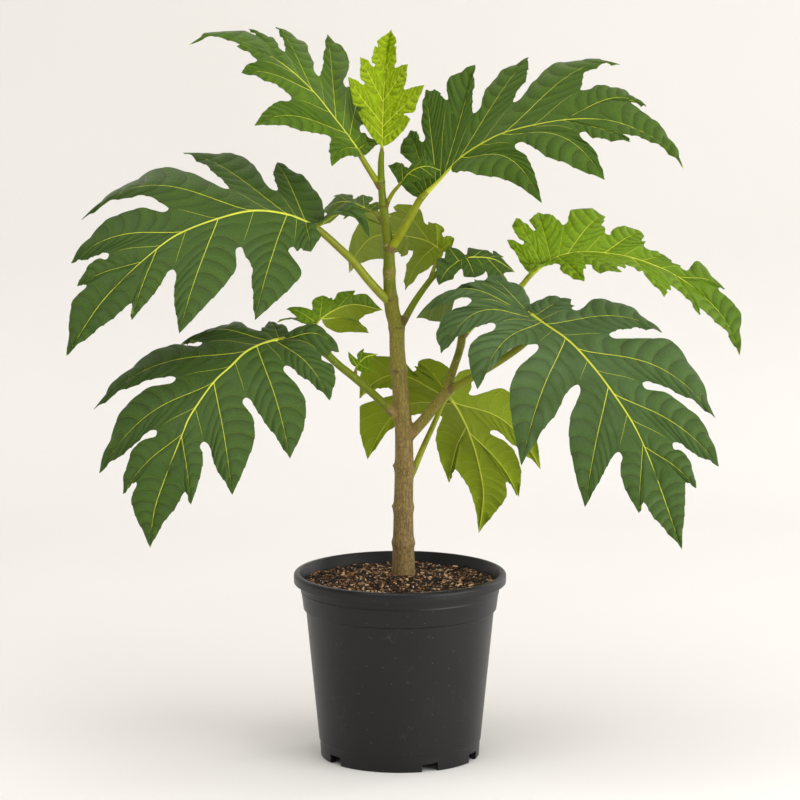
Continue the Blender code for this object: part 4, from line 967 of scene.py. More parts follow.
# %% The leaves' lines and lobes
# Each leaf in centimetres. The stalk and the midrib are x, y, z points from the tree to the
# leaf's tip, and "radius" is the stalk's at its foot and at the blade.
# A lobe on the left or right is: where its vein leaves the midrib (0 to 1), its tip x, y, z, how
# far its vein arches up, then its half width towards the leaf's base and towards the leaf's tip,
# as shares of the vein's length, and where along its vein the bay before it ends (0 to 1).
# The tip lobe has its half width, "tip_width", and its bay, "tip_sinus", left and right.
# "bare" is the share of the midrib without a blade at its start, left and right. "waist" is how
# full the lobes stay, and "bud" is a knob where the stalk meets the blade: x, y, z and radius.
LEAVES = {
    "leaf_crown": {
        "stalk": [(-2.1, 0.5, 71.2), (-2.1, 0.6, 72.2)], "radius": (0.22, 0.16), "tip_width": (0.56, 0.5),
        "tip_sinus": (0.93, 0.93), "waist": 0.25,
        "midrib": [(-2.1, 0.6, 72.2), (-2.0, 1.0, 75.0), (-1.9, 1.4, 78.0), (-1.6, 2.0, 81.5),
                   (-1.0, 2.4, 85.5)],
        "left": [(0.08, -4.8, 0.0, 76.2, 0.0, 0.16, 0.2), (0.18, -6.0, -0.6, 80.3, -0.2, 0.22, 0.16, 0.66),
                 (0.37, -4.6, 0.4, 82.5, 0.0, 0.26, 0.2, 0.66),
                 (0.62, -2.9, 1.2, 83.7, 0.0, 0.5, 0.3, 0.6)],
        "right": [(0.06, 1.2, -0.4, 75.4, 0.0, 0.18, 0.24), (0.16, 2.8, -1.0, 79.4, 0.0, 0.24, 0.16, 0.62),
                  (0.38, 0.9, 0.2, 81.7, 0.0, 0.26, 0.2, 0.66),
                  (0.66, -0.4, 1.2, 83.7, 0.0, 0.38, 0.3, 0.6)],
    },
    "leaf_upper_left": {
        "stalk": [(-2.2, 0.3, 67.4), (-2.7, 0.3, 68.1), (-3.9, 0.2, 70.0), (-4.6, 0.1, 71.2)],
        "radius": (0.40, 0.32), "tip_width": (0.14, 0.5),
        "midrib": [(-4.6, 0.1, 71.2), (-5.6, -0.5, 73.0), (-7.5, -1.2, 75.6), (-10.0, -2.0, 78.8),
                   (-13.0, -2.5, 81.6), (-16.5, -3.0, 83.8), (-19.5, -3.6, 85.1), (-21.5, -4.2, 85.4),
                   (-24.0, -5.2, 84.4)],
        "right": [(0.03, -2.4, 2.4, 72.2, 0.5, 0.22), (0.10, -4.6, 6.2, 78.0, 0.6, 0.35, 0.16),
                  (0.20, -8.5, 8.0, 84.5, 0.4, 0.46, 0.12, 0.62),
                  (0.37, -14.5, 6.2, 85.5, 0.8, 0.5, 0.1, 0.35),
                  (0.54, -17.5, 3.0, 85.5, 0.5, 0.34, 0.2)],
        "left": [(0.04, -7.8, -5.5, 70.5, 1.0, 0.16, 0.26), (0.12, -16.5, -9.5, 75.6, 1.5, 0.13, 0.15, 0.5),
                 (0.36, -18.0, -7.5, 81.4, 0.8, 0.12, 0.16, 0.5),
                 (0.60, -18.6, -5.0, 84.2, 0.3, 0.2, 0.3, 0.7)],
    },
    "leaf_upper_right": {
        "stalk": [(-1.25, 0.0, 60.1), (-0.4, -0.35, 61.3), (1.2, -0.8, 64.1), (2.4, -1.2, 66.4)],
        "radius": (0.52, 0.42), "tip_width": (0.34, 0.12), "bare": (0.0, 0.15),
        "midrib": [(2.4, -1.2, 66.4), (4.3, -1.6, 68.3), (7.0, -2.6, 71.2), (9.8, -4.0, 73.2),
                   (12.5, -5.0, 74.5), (17.5, -6.8, 75.8), (21.5, -8.0, 76.2), (25.0, -9.0, 75.8),
                   (28.8, -10.2, 74.2), (31.0, -11.0, 72.4), (32.0, -11.8, 71.0)],
        "left": [(0.01, -1.4, 1.6, 69.8, 0.4, 0.16, 0.26), (0.03, 1.2, 4.0, 73.6, 0.4, 0.24, 0.24, 0.5),
                 (0.07, 3.0, 6.4, 78.1, 0.2, 0.07, 0.3, 0.56),
                 (0.11, 8.8, 7.4, 81.0, -0.4, 0.2, 0.08, 0.8), (0.18, 15.0, 6.0, 82.0, 0.6, 0.2, 0.24, 0.5),
                 (0.36, 25.5, 3.0, 81.4, 2.2, 0.34, 0.08, 0.4),
                 (0.56, 28.2, -4.0, 77.2, 1.6, 0.28, 0.2, 0.5)],
        "right": [(0.19, 16.0, -13.0, 67.2, 3.0, 0.22, 0.12, 0.42),
                  (0.35, 23.0, -14.5, 70.0, 2.8, 0.3, 0.12, 0.42),
                  (0.56, 26.0, -12.0, 74.0, 0.4, 0.2, 0.24, 0.6)],
    },
    "leaf_small_top": {
        "stalk": [(-1.7, 0.3, 65.2), (-0.8, -0.5, 66.9), (0.0, -1.2, 67.9)], "radius": (0.28, 0.2),
        "tip_width": (0.3, 0.3),
        "midrib": [(0.0, -1.2, 67.9), (0.9, -2.0, 69.2), (2.0, -2.9, 70.0), (3.2, -3.7, 70.3),
                   (4.6, -4.3, 69.9)],
        "left": [(0.1, 0.2, -1.8, 70.5, 0.1, 0.3), (0.4, 3.2, -2.4, 71.4, 0.1, 0.26)],
        "right": [(0.3, 2.5, -4.6, 68.8, 0.1, 0.26), (0.6, 4.0, -5.4, 69.1, 0.1, 0.26)],
    },
    "leaf_left": {
        "stalk": [(-0.9, 0.2, 53.8), (-2.0, -0.3, 54.8), (-3.8, -1.0, 56.9), (-5.4, -1.6, 59.0),
                  (-6.9, -2.0, 60.5), (-8.2, -2.5, 61.8), (-9.5, -3.0, 63.0)],
        "radius": (0.54, 0.42), "tip_width": (0.26, 0.36), "tip_sinus": (0.76, 0.8),
        "midrib": [(-9.5, -3.0, 63.0), (-12.5, -5.0, 64.8), (-16.5, -7.6, 65.7), (-20.5, -9.8, 65.1),
                   (-25.0, -12.0, 63.6), (-28.0, -13.6, 61.6), (-31.0, -15.0, 59.0),
                   (-34.0, -16.4, 55.8), (-37.5, -18.0, 50.5)],
        "right": [(0.05, -14.3, 3.0, 70.0, 0.4, 0.27, 0.24),
                  (0.12, -25.3, 4.0, 71.0, 1.0, 0.26, 0.15, 0.38),
                  (0.24, -36.5, -6.0, 64.4, 3.5, 0.40, 0.1, 0.36),
                  (0.48, -37.3, -12.0, 60.2, 1.6, 0.25, 0.18, 0.36),
                  (0.64, -36.4, -15.0, 58.0, 0.4, 0.24, 0.24, 0.6)],
        "left": [(0.01, -3.5, -5.4, 62.3, 2.4, 0.26, 0.2), (0.05, -10.2, -7.4, 60.9, 0.5, 0.34, 0.3),
                 (0.12, -16.4, -14.0, 54.0, 1.2, 0.25, 0.15, 0.6),
                 (0.36, -24.8, -17.5, 53.0, 1.0, 0.25, 0.17, 0.36),
                 (0.58, -30.1, -18.0, 54.6, 0.6, 0.21, 0.2, 0.45)],
    },
    "leaf_lower_left": {
        "stalk": [(-8.9, -4.95, 49.1), (-10.0, -5.5, 49.7), (-11.5, -6.2, 50.2), (-13.4, -7.0, 50.7)],
        "radius": (0.46, 0.40), "tip_width": (0.3, 0.36), "tip_sinus": (0.8, 0.8),
        "midrib": [(-13.4, -7.0, 50.7), (-15.3, -9.0, 50.7), (-17.5, -11.2, 50.0), (-19.3, -13.0, 48.5),
                   (-21.2, -14.8, 46.9), (-23.6, -17.5, 43.7), (-24.5, -18.8, 41.7),
                   (-26.0, -20.5, 38.0), (-27.5, -22.0, 33.7), (-28.0, -22.8, 29.5)],
        "right": [(0.02, -14.9, -3.2, 52.2, 0.2, 0.3, 0.3), (0.06, -25.4, -6.0, 49.6, 1.8, 0.36, 0.14, 0.5),
                  (0.18, -35.0, -11.0, 43.2, 2.3, 0.16, 0.12, 0.46),
                  (0.36, -34.0, -17.5, 37.0, 2.2, 0.22, 0.17, 0.42),
                  (0.59, -31.1, -21.0, 35.3, 0.8, 0.29, 0.2, 0.47)],
        "left": [(0.01, -7.0, -7.4, 49.3, 1.6, 0.2, 0.2), (0.04, -8.0, -13.0, 44.6, 1.4, 0.26, 0.22, 0.8),
                 (0.13, -12.4, -18.5, 38.9, 1.2, 0.29, 0.2, 0.44),
                 (0.36, -18.8, -21.5, 35.3, 0.8, 0.27, 0.18, 0.38),
                 (0.60, -23.4, -22.5, 34.4, 0.6, 0.24, 0.18, 0.42)],
    },
    "leaf_inner_left": {
        "stalk": [(-7.9, -4.6, 48.2), (-8.7, -3.2, 49.5), (-9.5, -1.7, 50.8), (-10.0, -0.5, 51.6)],
        "radius": (0.26, 0.2),
        "tip_width": (0.3, 0.16),
        "midrib": [(-10.0, -0.5, 51.6), (-7.7, 2.0, 52.8), (-5.4, 4.5, 53.1), (-2.1, 8.0, 51.9)],
        "left": [(0.02, -13.2, -1.0, 53.3, 0.4, 0.26), (0.08, -9.0, 1.4, 54.6, 0.0, 0.4, 0.4, 0.86),
                 (0.34, -5.3, 4.0, 54.8, 0.0, 0.4, 0.3, 0.86)],
        "right": [(0.02, -14.3, 0.0, 51.6, 0.4, 0.22), (0.10, -3.7, 7.0, 49.3, 1.0, 0.26, 0.24, 0.6)],
    },
    "leaf_behind": {
        "stalk": [(3.5, 1.3, 56.3), (4.1, 2.2, 58.0), (5.1, 3.0, 59.6)], "radius": (0.26, 0.2),
        "tip_width": (0.36, 0.26),
        "midrib": [(5.1, 3.0, 59.6), (3.2, 5.5, 60.5), (0.5, 8.8, 60.7), (-2.1, 11.8, 60.4),
                   (-3.8, 13.8, 59.5), (-5.4, 15.8, 57.2), (-6.1, 17.2, 55.1)],
        "right": [(0.02, 6.4, 3.8, 61.0, 0.2, 0.3, 0.3), (0.06, 4.2, 3.6, 62.8, 0.1, 0.3, 0.3, 0.8),
                  (0.13, -0.8, 6.0, 64.4, 0.8, 0.3, 0.2, 0.6),
                  (0.42, -5.6, 12.0, 62.6, 0.6, 0.34, 0.2, 0.7)],
        "left": [(0.08, 0.6, 7.0, 54.4, 1.0, 0.24, 0.42), (0.34, 0.2, 11.4, 57.8, 0.0, 0.24, 0.3)],
    },
    "leaf_behind_upper": {
        "stalk": [(-2.0, 0.3, 63.2), (-2.6, 0.9, 63.9), (-3.3, 1.5, 64.4)], "radius": (0.26, 0.2),
        "tip_width": (0.3, 0.3),
        "midrib": [(-3.3, 1.5, 64.4), (-4.7, 2.8, 65.0), (-6.4, 4.8, 65.2), (-8.0, 6.6, 64.6),
                   (-9.4, 8.4, 63.2)],
        "right": [(0.04, -2.0, 4.0, 65.2, 0.2, 0.3), (0.12, -4.4, 6.4, 65.8, 0.1, 0.28),
                  (0.42, -7.8, 8.6, 65.4, 0.2, 0.3)],
        "left": [(0.12, -6.6, 2.4, 63.4, 0.3, 0.24), (0.44, -9.2, 5.4, 62.8, 0.2, 0.26)],
    },
    "leaf_inner_right": {
        "stalk": [(4.4, 1.4, 57.3), (5.4, 0.7, 58.0), (6.4, 0.2, 58.6)], "radius": (0.26, 0.2),
        "tip_width": (0.3, 0.3),
        "midrib": [(6.4, 0.2, 58.6), (7.6, 0.4, 59.1), (8.8, 0.8, 59.2), (11.0, 1.6, 58.8),
                   (13.4, 2.4, 57.2)],
        "left": [(0.06, 5.6, 1.0, 60.4, 0.0, 0.6, 0.5), (0.28, 10.2, 2.8, 59.7, 0.2, 0.5, 0.4, 0.86),
                 (0.52, 12.1, 3.0, 58.9, 0.1, 0.5, 0.4, 0.86)],
        "right": [(0.04, 4.5, -1.4, 56.2, 0.5, 0.5, 0.5), (0.18, 8.7, -0.8, 57.0, 0.2, 0.5, 0.4, 0.8),
                  (0.5, 12.5, 1.0, 56.2, 0.2, 0.5, 0.4, 0.8)],
    },
    "leaf_right": {
        "stalk": [(5.5, -1.2, 43.7), (8.7, -2.4, 45.7), (11.9, -3.2, 47.8), (14.5, -4.0, 49.9),
                  (15.2, -4.5, 51.4), (14.9, -4.6, 52.7), (14.6, -4.8, 53.6)],
        "radius": (0.46, 0.40), "tip_width": (0.28, 0.3), "tip_sinus": (0.8, 0.8),
        "bud": (14.45, -4.2, 53.9, 0.5),
        "midrib": [(14.6, -4.8, 53.6), (16.4, -7.2, 52.7), (19.9, -11.2, 50.6), (24.0, -15.2, 46.0),
                   (27.5, -18.2, 40.3), (31.7, -21.2, 29.0)],
        "left": [(0.01, 10.4, -2.4, 57.5, 0.2, 0.3, 0.2), (0.03, 1.9, -4.5, 52.8, 3.4, 0.74, 0.20, 0.93),
                 (0.05, 4.7, -8.5, 49.3, 3.2, 0.38, 0.2, 0.64),
                 (0.08, 8.8, -12.5, 45.8, 2.2, 0.32, 0.15, 0.62),
                 (0.20, 13.7, -17.5, 37.9, 1.6, 0.24, 0.24, 0.34),
                 (0.43, 20.8, -20.5, 33.7, 0.8, 0.23, 0.15, 0.17),
                 (0.65, 26.8, -21.4, 33.2, 0.2, 0.28, 0.3, 0.45)],
        "right": [(0.04, 19.8, -4.0, 54.9, 0.4, 0.26, 0.2), (0.10, 30.1, -7.0, 51.5, 1.5, 0.21, 0.17, 0.45),
                  (0.26, 35.9, -12.5, 42.5, 2.5, 0.29, 0.15, 0.38),
                  (0.46, 36.1, -16.5, 37.6, 1.4, 0.27, 0.17, 0.38),
                  (0.66, 33.4, -19.0, 35.6, 0.5, 0.26, 0.3, 0.55)],
    },
    "leaf_right_back": {
        "stalk": [(7.3, 1.5, 49.8), (8.8, 1.9, 51.3), (10.5, 2.2, 52.8), (13.8, 3.0, 55.1),
                  (15.3, 3.5, 56.8)],
        "radius": (0.42, 0.32), "tip_width": (0.4, 0.24),
        "midrib": [(15.3, 3.5, 56.8), (17.0, 4.5, 57.9), (19.0, 6.0, 58.7), (21.6, 7.6, 58.9),
                   (25.5, 9.8, 58.3), (29.0, 11.6, 57.2), (33.0, 13.6, 55.2), (36.5, 15.2, 52.4),
                   (39.2, 16.4, 49.2), (41.0, 17.2, 45.0)],
        "left": [(0.02, 12.5, 3.8, 60.8, 0.2, 0.12, 0.2), (0.05, 13.6, 5.2, 63.2, 0.2, 0.3, 0.22, 0.6),
                 (0.09, 16.3, 8.0, 63.5, 0.0, 0.3, 0.4, 0.7),
                 (0.16, 24.4, 12.0, 62.5, 0.8, 0.34, 0.12, 0.85),
                 (0.31, 29.0, 14.0, 60.2, 0.5, 0.22, 0.16, 0.5),
                 (0.46, 32.2, 15.2, 57.0, 0.3, 0.16, 0.2, 0.6),
                 (0.62, 39.1, 16.8, 53.1, 0.6, 0.34, 0.2, 0.8)],
        "right": [(0.06, 15.0, -0.6, 57.4, 0.3, 0.14, 0.2), (0.12, 21.5, 1.6, 56.2, 0.3, 0.3, 0.2),
                  (0.20, 26.0, 4.0, 57.0, 0.0, 0.36, 0.12, 0.6),
                  (0.42, 31.3, 9.0, 53.3, 0.4, 0.16, 0.28, 0.5),
                  (0.60, 35.8, 12.5, 50.6, 0.4, 0.22, 0.3, 0.6)],
    },
    "leaf_low_back": {
        "stalk": [(0.7, 0.1, 32.4), (1.4, 0.2, 33.6), (2.6, 0.8, 36.4), (3.9, 1.4, 39.2),
                  (5.0, 2.2, 41.6), (5.7, 2.6, 42.6)],
        "radius": (0.40, 0.28), "tip_width": (0.28, 0.18), "tip_sinus": (0.8, 0.8),
        "midrib": [(5.7, 2.6, 42.6), (7.1, 6.0, 39.9), (8.4, 10.0, 36.4), (9.4, 13.5, 32.6),
                   (10.1, 16.5, 28.0), (9.6, 18.0, 23.0)],
        "right": [(0.01, 2.2, 4.0, 46.4, 0.4, 0.36, 0.3), (0.03, -4.8, 6.0, 41.6, 2.8, 0.34, 0.16, 0.6),
                  (0.07, -3.9, 11.0, 33.4, 3.4, 0.3, 0.16, 0.64),
                  (0.30, 5.9, 15.0, 29.8, 1.2, 0.26, 0.2, 0.42)],
        "left": [(0.02, 9.2, 4.6, 45.2, 0.3, 0.3, 0.24), (0.06, 16.9, 12.5, 31.9, 2.4, 0.18, 0.14, 0.45),
                 (0.35, 14.4, 16.5, 27.8, 1.0, 0.24, 0.16, 0.42)],
    },
    "leaf_shoot": {
        "stalk": [(-5.2, -3.4, 45.7), (-5.1, -3.6, 47.0)], "radius": (0.2, 0.16), "tip_width": (0.3, 0.3),
        "midrib": [(-5.1, -3.6, 47.0), (-4.4, -3.8, 47.9), (-3.6, -4.0, 48.3), (-2.5, -4.0, 48.5)],
        "left": [(0.06, -6.0, -3.4, 48.7, 0.0, 0.22), (0.26, -4.2, -3.0, 49.0, 0.0, 0.34)],
        "right": [(0.15, -3.2, -4.6, 46.6, 0.0, 0.3)],
    },
}

# %% [markdown]
# A lobe's vein is a straight line with an arch added to it. The leaf's tip is the last
# lobe, and its vein is the end of the midrib itself.

# %% Veins
# The arch is highest past the vein's middle, and the second number scales its top to one.
ARCH_POWER = 1.5
ARCH_PEAK = 5.38
# Two lobes share the gap between their veins, and the half that faces the leaf's base takes a
# little more. The tip lobe takes the most. Where the neighbour's vein has ended already, a lobe
# may reach this share of the way to its tip.
GAP_LEAN = 0.08
TIP_GAP = 0.84
OPEN_WAY = 0.75
DEFAULT_SINUS = 0.42
DEFAULT_TIP_SINUS = 0.76
DEFAULT_WIDTH = 0.25
TIP_SIDE_SHARE = 0.72
TIP_LOBE_START = 0.3
BAY_LIMITS = (0.13, 0.95)
LOBE_POINT = 1.1
# How full a lobe stays below its point: the half towards the leaf's base is rounder.
BASE_SIDE_WAIST = 1.9
TIP_SIDE_WAIST = 0.6
TIP_POINT = 1.3
TIP_WAIST = 0.65
TIP_FULLNESS = 1.05
NEAREST_STEPS = 40
# Rows of faces from one side vein to the next.
VEIN_ROWS = 8
FEWEST_VEINS = 3
SEAM_SHARE = 0.2


class Vein:
    """One lobe's main vein, from its root on the midrib to the lobe's tip."""

    def __init__(self, midrib, share, x, y, z, arch,
                 base_width=DEFAULT_WIDTH, tip_width=None, sinus=DEFAULT_SINUS):
        self.share = share
        self.root = midrib.at(share)
        self.tip = Vector((x, y, z)) * CM
        self.arch = arch * CM * ARCH_PEAK
        reach = (self.tip - self.root).length
        self.base_width = base_width * reach
        self.tip_width = (tip_width or TIP_SIDE_SHARE * base_width) * reach
        self.sinus = sinus
        self.waist = BASE_SIDE_WAIST
        self.read_samples()

    def read_samples(self):
        """Keep evenly spaced points of the vein, to look up the nearest one."""
        self.samples = [self.at(step / NEAREST_STEPS) for step in range(NEAREST_STEPS + 1)]

    def set_rows(self, seam, spacing, most):
        """Choose how many rows its half lobes have, and how far along the vein each one starts."""
        length = (self.samples[-1] - self.samples[0]).length
        open_rows = VEIN_ROWS * limited(round(length / spacing), FEWEST_VEINS, most)
        joined = [SEAM_SHARE * row / seam for row in range(seam)]
        beyond = [SEAM_SHARE + (1 - SEAM_SHARE) * row / open_rows for row in range(open_rows + 1)]
        self.shares = joined + beyond
        self.rows = seam + open_rows

    def at(self, share):
        """The point at a share of the vein, in metres."""
        lift = self.arch * max(share, 0) ** ARCH_POWER * (1 - share)
        return self.root.lerp(self.tip, share) + Vector((0, 0, lift))

    def outline(self, share, waist):
        """The lobe's outline as a share of its full width: full at its waist, then drawn to a point."""
        return (1 - share) ** LOBE_POINT * (1 + waist * share)


class TipVein(Vein):
    """The midrib from its last side vein to the leaf's tip, read as a vein."""

    def __init__(self, midrib, share, width, sinus):
        self.midrib = midrib
        self.share = share
        self.root = midrib.at(share)
        self.base_width = width * midrib.length() * CM * (1 - share)
        self.tip_width = self.base_width
        self.waist = TIP_WAIST
        self.sinus = sinus
        self.read_samples()

    def at(self, share):
        """The point of the midrib at a share of this vein, in metres."""
        return self.midrib.at(self.share + (1 - self.share) * share)

    def outline(self, share, waist):
        """The leaf's own tip has broad shoulders and a longer point than the lobes."""
        return TIP_FULLNESS * (1 - share) ** TIP_POINT * (1 + waist * share)


def side_veins(leaf, side, midrib):
    """The veins of one side of a leaf from its base to its tip."""
    veins = [Vein(midrib, *lobe) for lobe in leaf[side]]
    for vein in veins:
        vein.waist = leaf.get("waist", BASE_SIDE_WAIST)
    last = veins[-1].share
    right = side == "right"
    sinus = leaf.get("tip_sinus", (DEFAULT_TIP_SINUS, DEFAULT_TIP_SINUS))[right]
    start = last + TIP_LOBE_START * (1 - last)
    return [*veins, TipVein(midrib, start, leaf["tip_width"][right], sinus)]


lobes = sum(len(leaf["left"]) + len(leaf["right"]) + 1 for leaf in LEAVES.values())
print("leaves:", len(LEAVES), "lobes:", lobes)

# %% [markdown]
# ### Half lobes
# Where two lobes meet they share a seam, which ends at the bottom of the bay between
# them. Beyond it each lobe has its own edge. A few points are worked out for it: round
# out of the bay, full at the lobe's waist and drawn to a point. A smooth curve through
# them is the edge, since a leaf has no corners between its teeth. Its first point lies
# a quarter turn round the bay, and its mirror image on the next lobe leads the curve in,
# so the two edges pass through the bay as one round line.

# %% The edges of a half lobe
MARGIN_SHARES = (0.24, 0.48, 0.74)
EDGE_STEPS = 16
# A bay's radius at most, and as a share of the gap there. Bays beside the tip lobe are smaller.
BAY_RADIUS = 5.2 * MM
BAY_SHARE = 0.34
TIP_BAY_SIZE = 0.4
# The edges on both sides of a bay stay apart by some of its radius.
BAY_NECK = 0.85
BAY_ROOM = 0.7
SLOPE_STEP = 0.03
# A tooth's height at most, and as a share of the half lobe's width there.
TOOTH = 0.9 * MM
TOOTH_SHARE = 0.06
# A tooth climbs slowly from a foot that lies inside the edge, and drops at once.
TOOTH_CLIMB = 1.6
TOOTH_FOOT = 0.4
# The teeth fade out over these shares of the edge, at the bay and at the lobe's tip.
TOOTHLESS_BAY = 0.2
TOOTHLESS_TIP = 0.15
# The lowest half lobe of a side is a plain bulge, fullest towards the base.
BASE_STEPS = 60
BASE_PASSES = 8
BASE_SKEW = 0.75
BASE_FULLNESS = 0.8


def nearest_share(vein, point):
    """The share of a vein's length that lies nearest to a point."""
    distances = [(sample - point).length_squared for sample in vein.samples]
    return distances.index(min(distances)) / NEAREST_STEPS


def square_to(vein, share, way):
    """A direction square to the vein at a share of its length, on the side that way points to."""
    along = (vein.at(min(share + SLOPE_STEP, 1.0)) - vein.at(share - SLOPE_STEP)).normalized()
    return (way - along * way.dot(along)).normalized()


def gap_share(vein, neighbour):
    """How much of the gap between two veins belongs to this one. The leaf's tip takes the most."""
    if isinstance(vein, TipVein):
        return TIP_GAP
    return 1 - TIP_GAP if isinstance(neighbour, TipVein) else 0.5


def bay_shares(here, there):
    """Where the bay between two veins lies level with each of them."""
    start = max((here, there), key=lambda each: each.share).sinus
    bottom = here.at(start).lerp(there.at(start), gap_share(here, there))
    return [limited(nearest_share(vein, bottom), *BAY_LIMITS) for vein in (here, there)]


def margin_point(vein, neighbour, share, start, across, neck):
    """A point of the edge beside a vein, beyond the bay that starts at that share."""
    square = square_to(vein, share, across)
    point = vein.at(share)
    level = nearest_share(neighbour, point)
    apart = (neighbour.at(level) - point).length
    towards_tip = neighbour.share > vein.share
    mine = gap_share(vein, neighbour) + (-GAP_LEAN if towards_tip else GAP_LEAN)
    room = apart * OPEN_WAY if level == 1 else mine * apart - BAY_ROOM * neck
    beyond = (share - start) / (1 - start)
    if towards_tip:
        full = vein.tip_width * vein.outline(beyond, TIP_SIDE_WAIST)
    else:
        full = vein.base_width * vein.outline(beyond, vein.waist)
    return point + square * max(min(full, room), 0)


def evenly(line, count):
    """Evenly spaced points along a line, without its first point."""
    reach = [0.0]
    for here, there in zip(line, line[1:]):
        reach.append(reach[-1] + (there - here).length)
    spaced = []
    for step in range(1, count + 1):
        index, part = span_at(reach, reach[-1] * step / count)
        spaced.append(line[index - 1].lerp(line[index], part))
    return spaced


def smooth_edge(before, points, count):
    """Evenly spaced points of a smooth curve through the points, led in from the one before."""
    held = [before, *points]
    gaps = [math.sqrt((there - here).length) for here, there in zip(held, held[1:])]
    slopes = [(there - here) / gap for here, there, gap in zip(held, held[1:], gaps)]
    speeds = []
    for come, go, back, ahead in zip(slopes, slopes[1:], gaps, gaps[1:]):
        speeds.append((come * ahead + go * back) / (back + ahead))
    speeds.append(slopes[-1])
    line = []
    for index, gap in enumerate(gaps[1:]):
        here, there = points[index], points[index + 1]
        handles = here + speeds[index] * gap / 3, there - speeds[index + 1] * gap / 3
        line += interpolate_bezier(here, *handles, there, EDGE_STEPS + 1)[:-1]
    return evenly([*line, points[-1]], count)


def tooth(row, rows):
    """How far a tooth stands out of the edge, as a share of the full tooth."""
    climb = (row - 1) % VEIN_ROWS / (VEIN_ROWS - 1)
    fade = min(row / rows / TOOTHLESS_BAY, (1 - row / rows) / TOOTHLESS_TIP, 1.0)
    return (climb ** TOOTH_CLIMB - TOOTH_FOOT) * max(fade, 0)


def half_lobe(vein, neighbour, midrib, seam, size):
    """The outer curve of a half lobe, and where its seam starts on the midrib."""
    start, level = bay_shares(vein, neighbour)
    mine = gap_share(vein, neighbour)
    middle = vein.share + (neighbour.share - vein.share) * mine
    offset = midrib.at(middle) - vein.root.lerp(neighbour.root, mine)
    outer = []
    for step in range(seam + 1):
        part = step / seam
        outer.append(vein.at(start * part).lerp(neighbour.at(level * part), mine) + offset * (1 - part))
    across = (neighbour.at(level) - vein.at(start)) * mine
    round_bay = size if mine == 0.5 else size * TIP_BAY_SIZE
    radius = min(BAY_RADIUS * round_bay, across.length * BAY_SHARE)
    ahead = (outer[-1] - outer[-2]).normalized() * radius
    aside = across.normalized() * radius
    shares = [start + (1 - start) * share for share in MARGIN_SHARES]
    neck = BAY_NECK * radius
    beside = [margin_point(vein, neighbour, share, start, across, neck) for share in shares]
    points = [outer[-1], outer[-1] + ahead - aside, *beside, vein.at(1.0)]
    lead = outer[-1] + ahead + aside
    return outer + smooth_edge(lead, points, vein.rows - seam), middle


def relaxed(points, first, last, passes):
    """The same points with the ones between first and last eased into their neighbours."""
    for _ in range(passes):
        for index in range(max(first, 1), min(last, len(points) - 1)):
            points[index] = points[index] * 0.5 + (points[index - 1] + points[index + 1]) * 0.25
    return points


def basal_half_lobe(vein, neighbour, bare, midrib):
    """The outer curve of the lowest half lobe, which closes on the midrib where the blade starts."""
    start = midrib.at(bare)
    line = [start]
    base = start - vein.root
    away = vein.at(DEFAULT_SINUS) - neighbour.at(DEFAULT_SINUS)
    for step in range(1, BASE_STEPS):
        share = step / BASE_STEPS
        width = vein.base_width * math.sin(math.pi * share ** BASE_SKEW) ** BASE_FULLNESS
        line.append(vein.at(share) + square_to(vein, share, away) * width + base * (1 - share) ** 3)
    line.append(vein.at(1.0))
    return [start, *evenly(relaxed(line, 1, BASE_STEPS, BASE_PASSES), vein.rows)], bare


print("side veins end in teeth of", TOOTH, "m")

# %% [markdown]
# ### Quilting
# Between two side veins the upper face swells up like a pillow, and each half lobe is
# vaulted between its vein and its edge. Each corner of a grid keeps how far it has to
# rise, and all of them are pushed out together once the half lobes are welded, so the
# surface stays whole. A slow wave along the edges keeps the blade from looking pressed
# flat. The side veins are bent towards the lobe's tip, so the grid's rows are too.

# %% Lay one half lobe
PILLOW = 1.1 * MM
BULGE = 2.2 * MM
WAVE = 1.4 * MM
ROW_ARC = 10.0
# A pillow is fullest beyond its middle, and it rises steeply beside the lobe's vein.
PILLOW_SKEW = 1.3
PILLOW_FULLNESS = 0.8
PILLOW_RISE = 7
# In how many rows the relief fades at the tip, the lobes part and the vault starts.
FADE_ROWS = 8
PARTING_ROWS = 10
VAULT_ROWS = 10
VEINS_A_WAVE = 2.4


def read(line, place):
    """The point of a list of points at a place between two of them."""
    index = min(int(place), len(line) - 2)
    return line[index].lerp(line[index + 1], place - index)


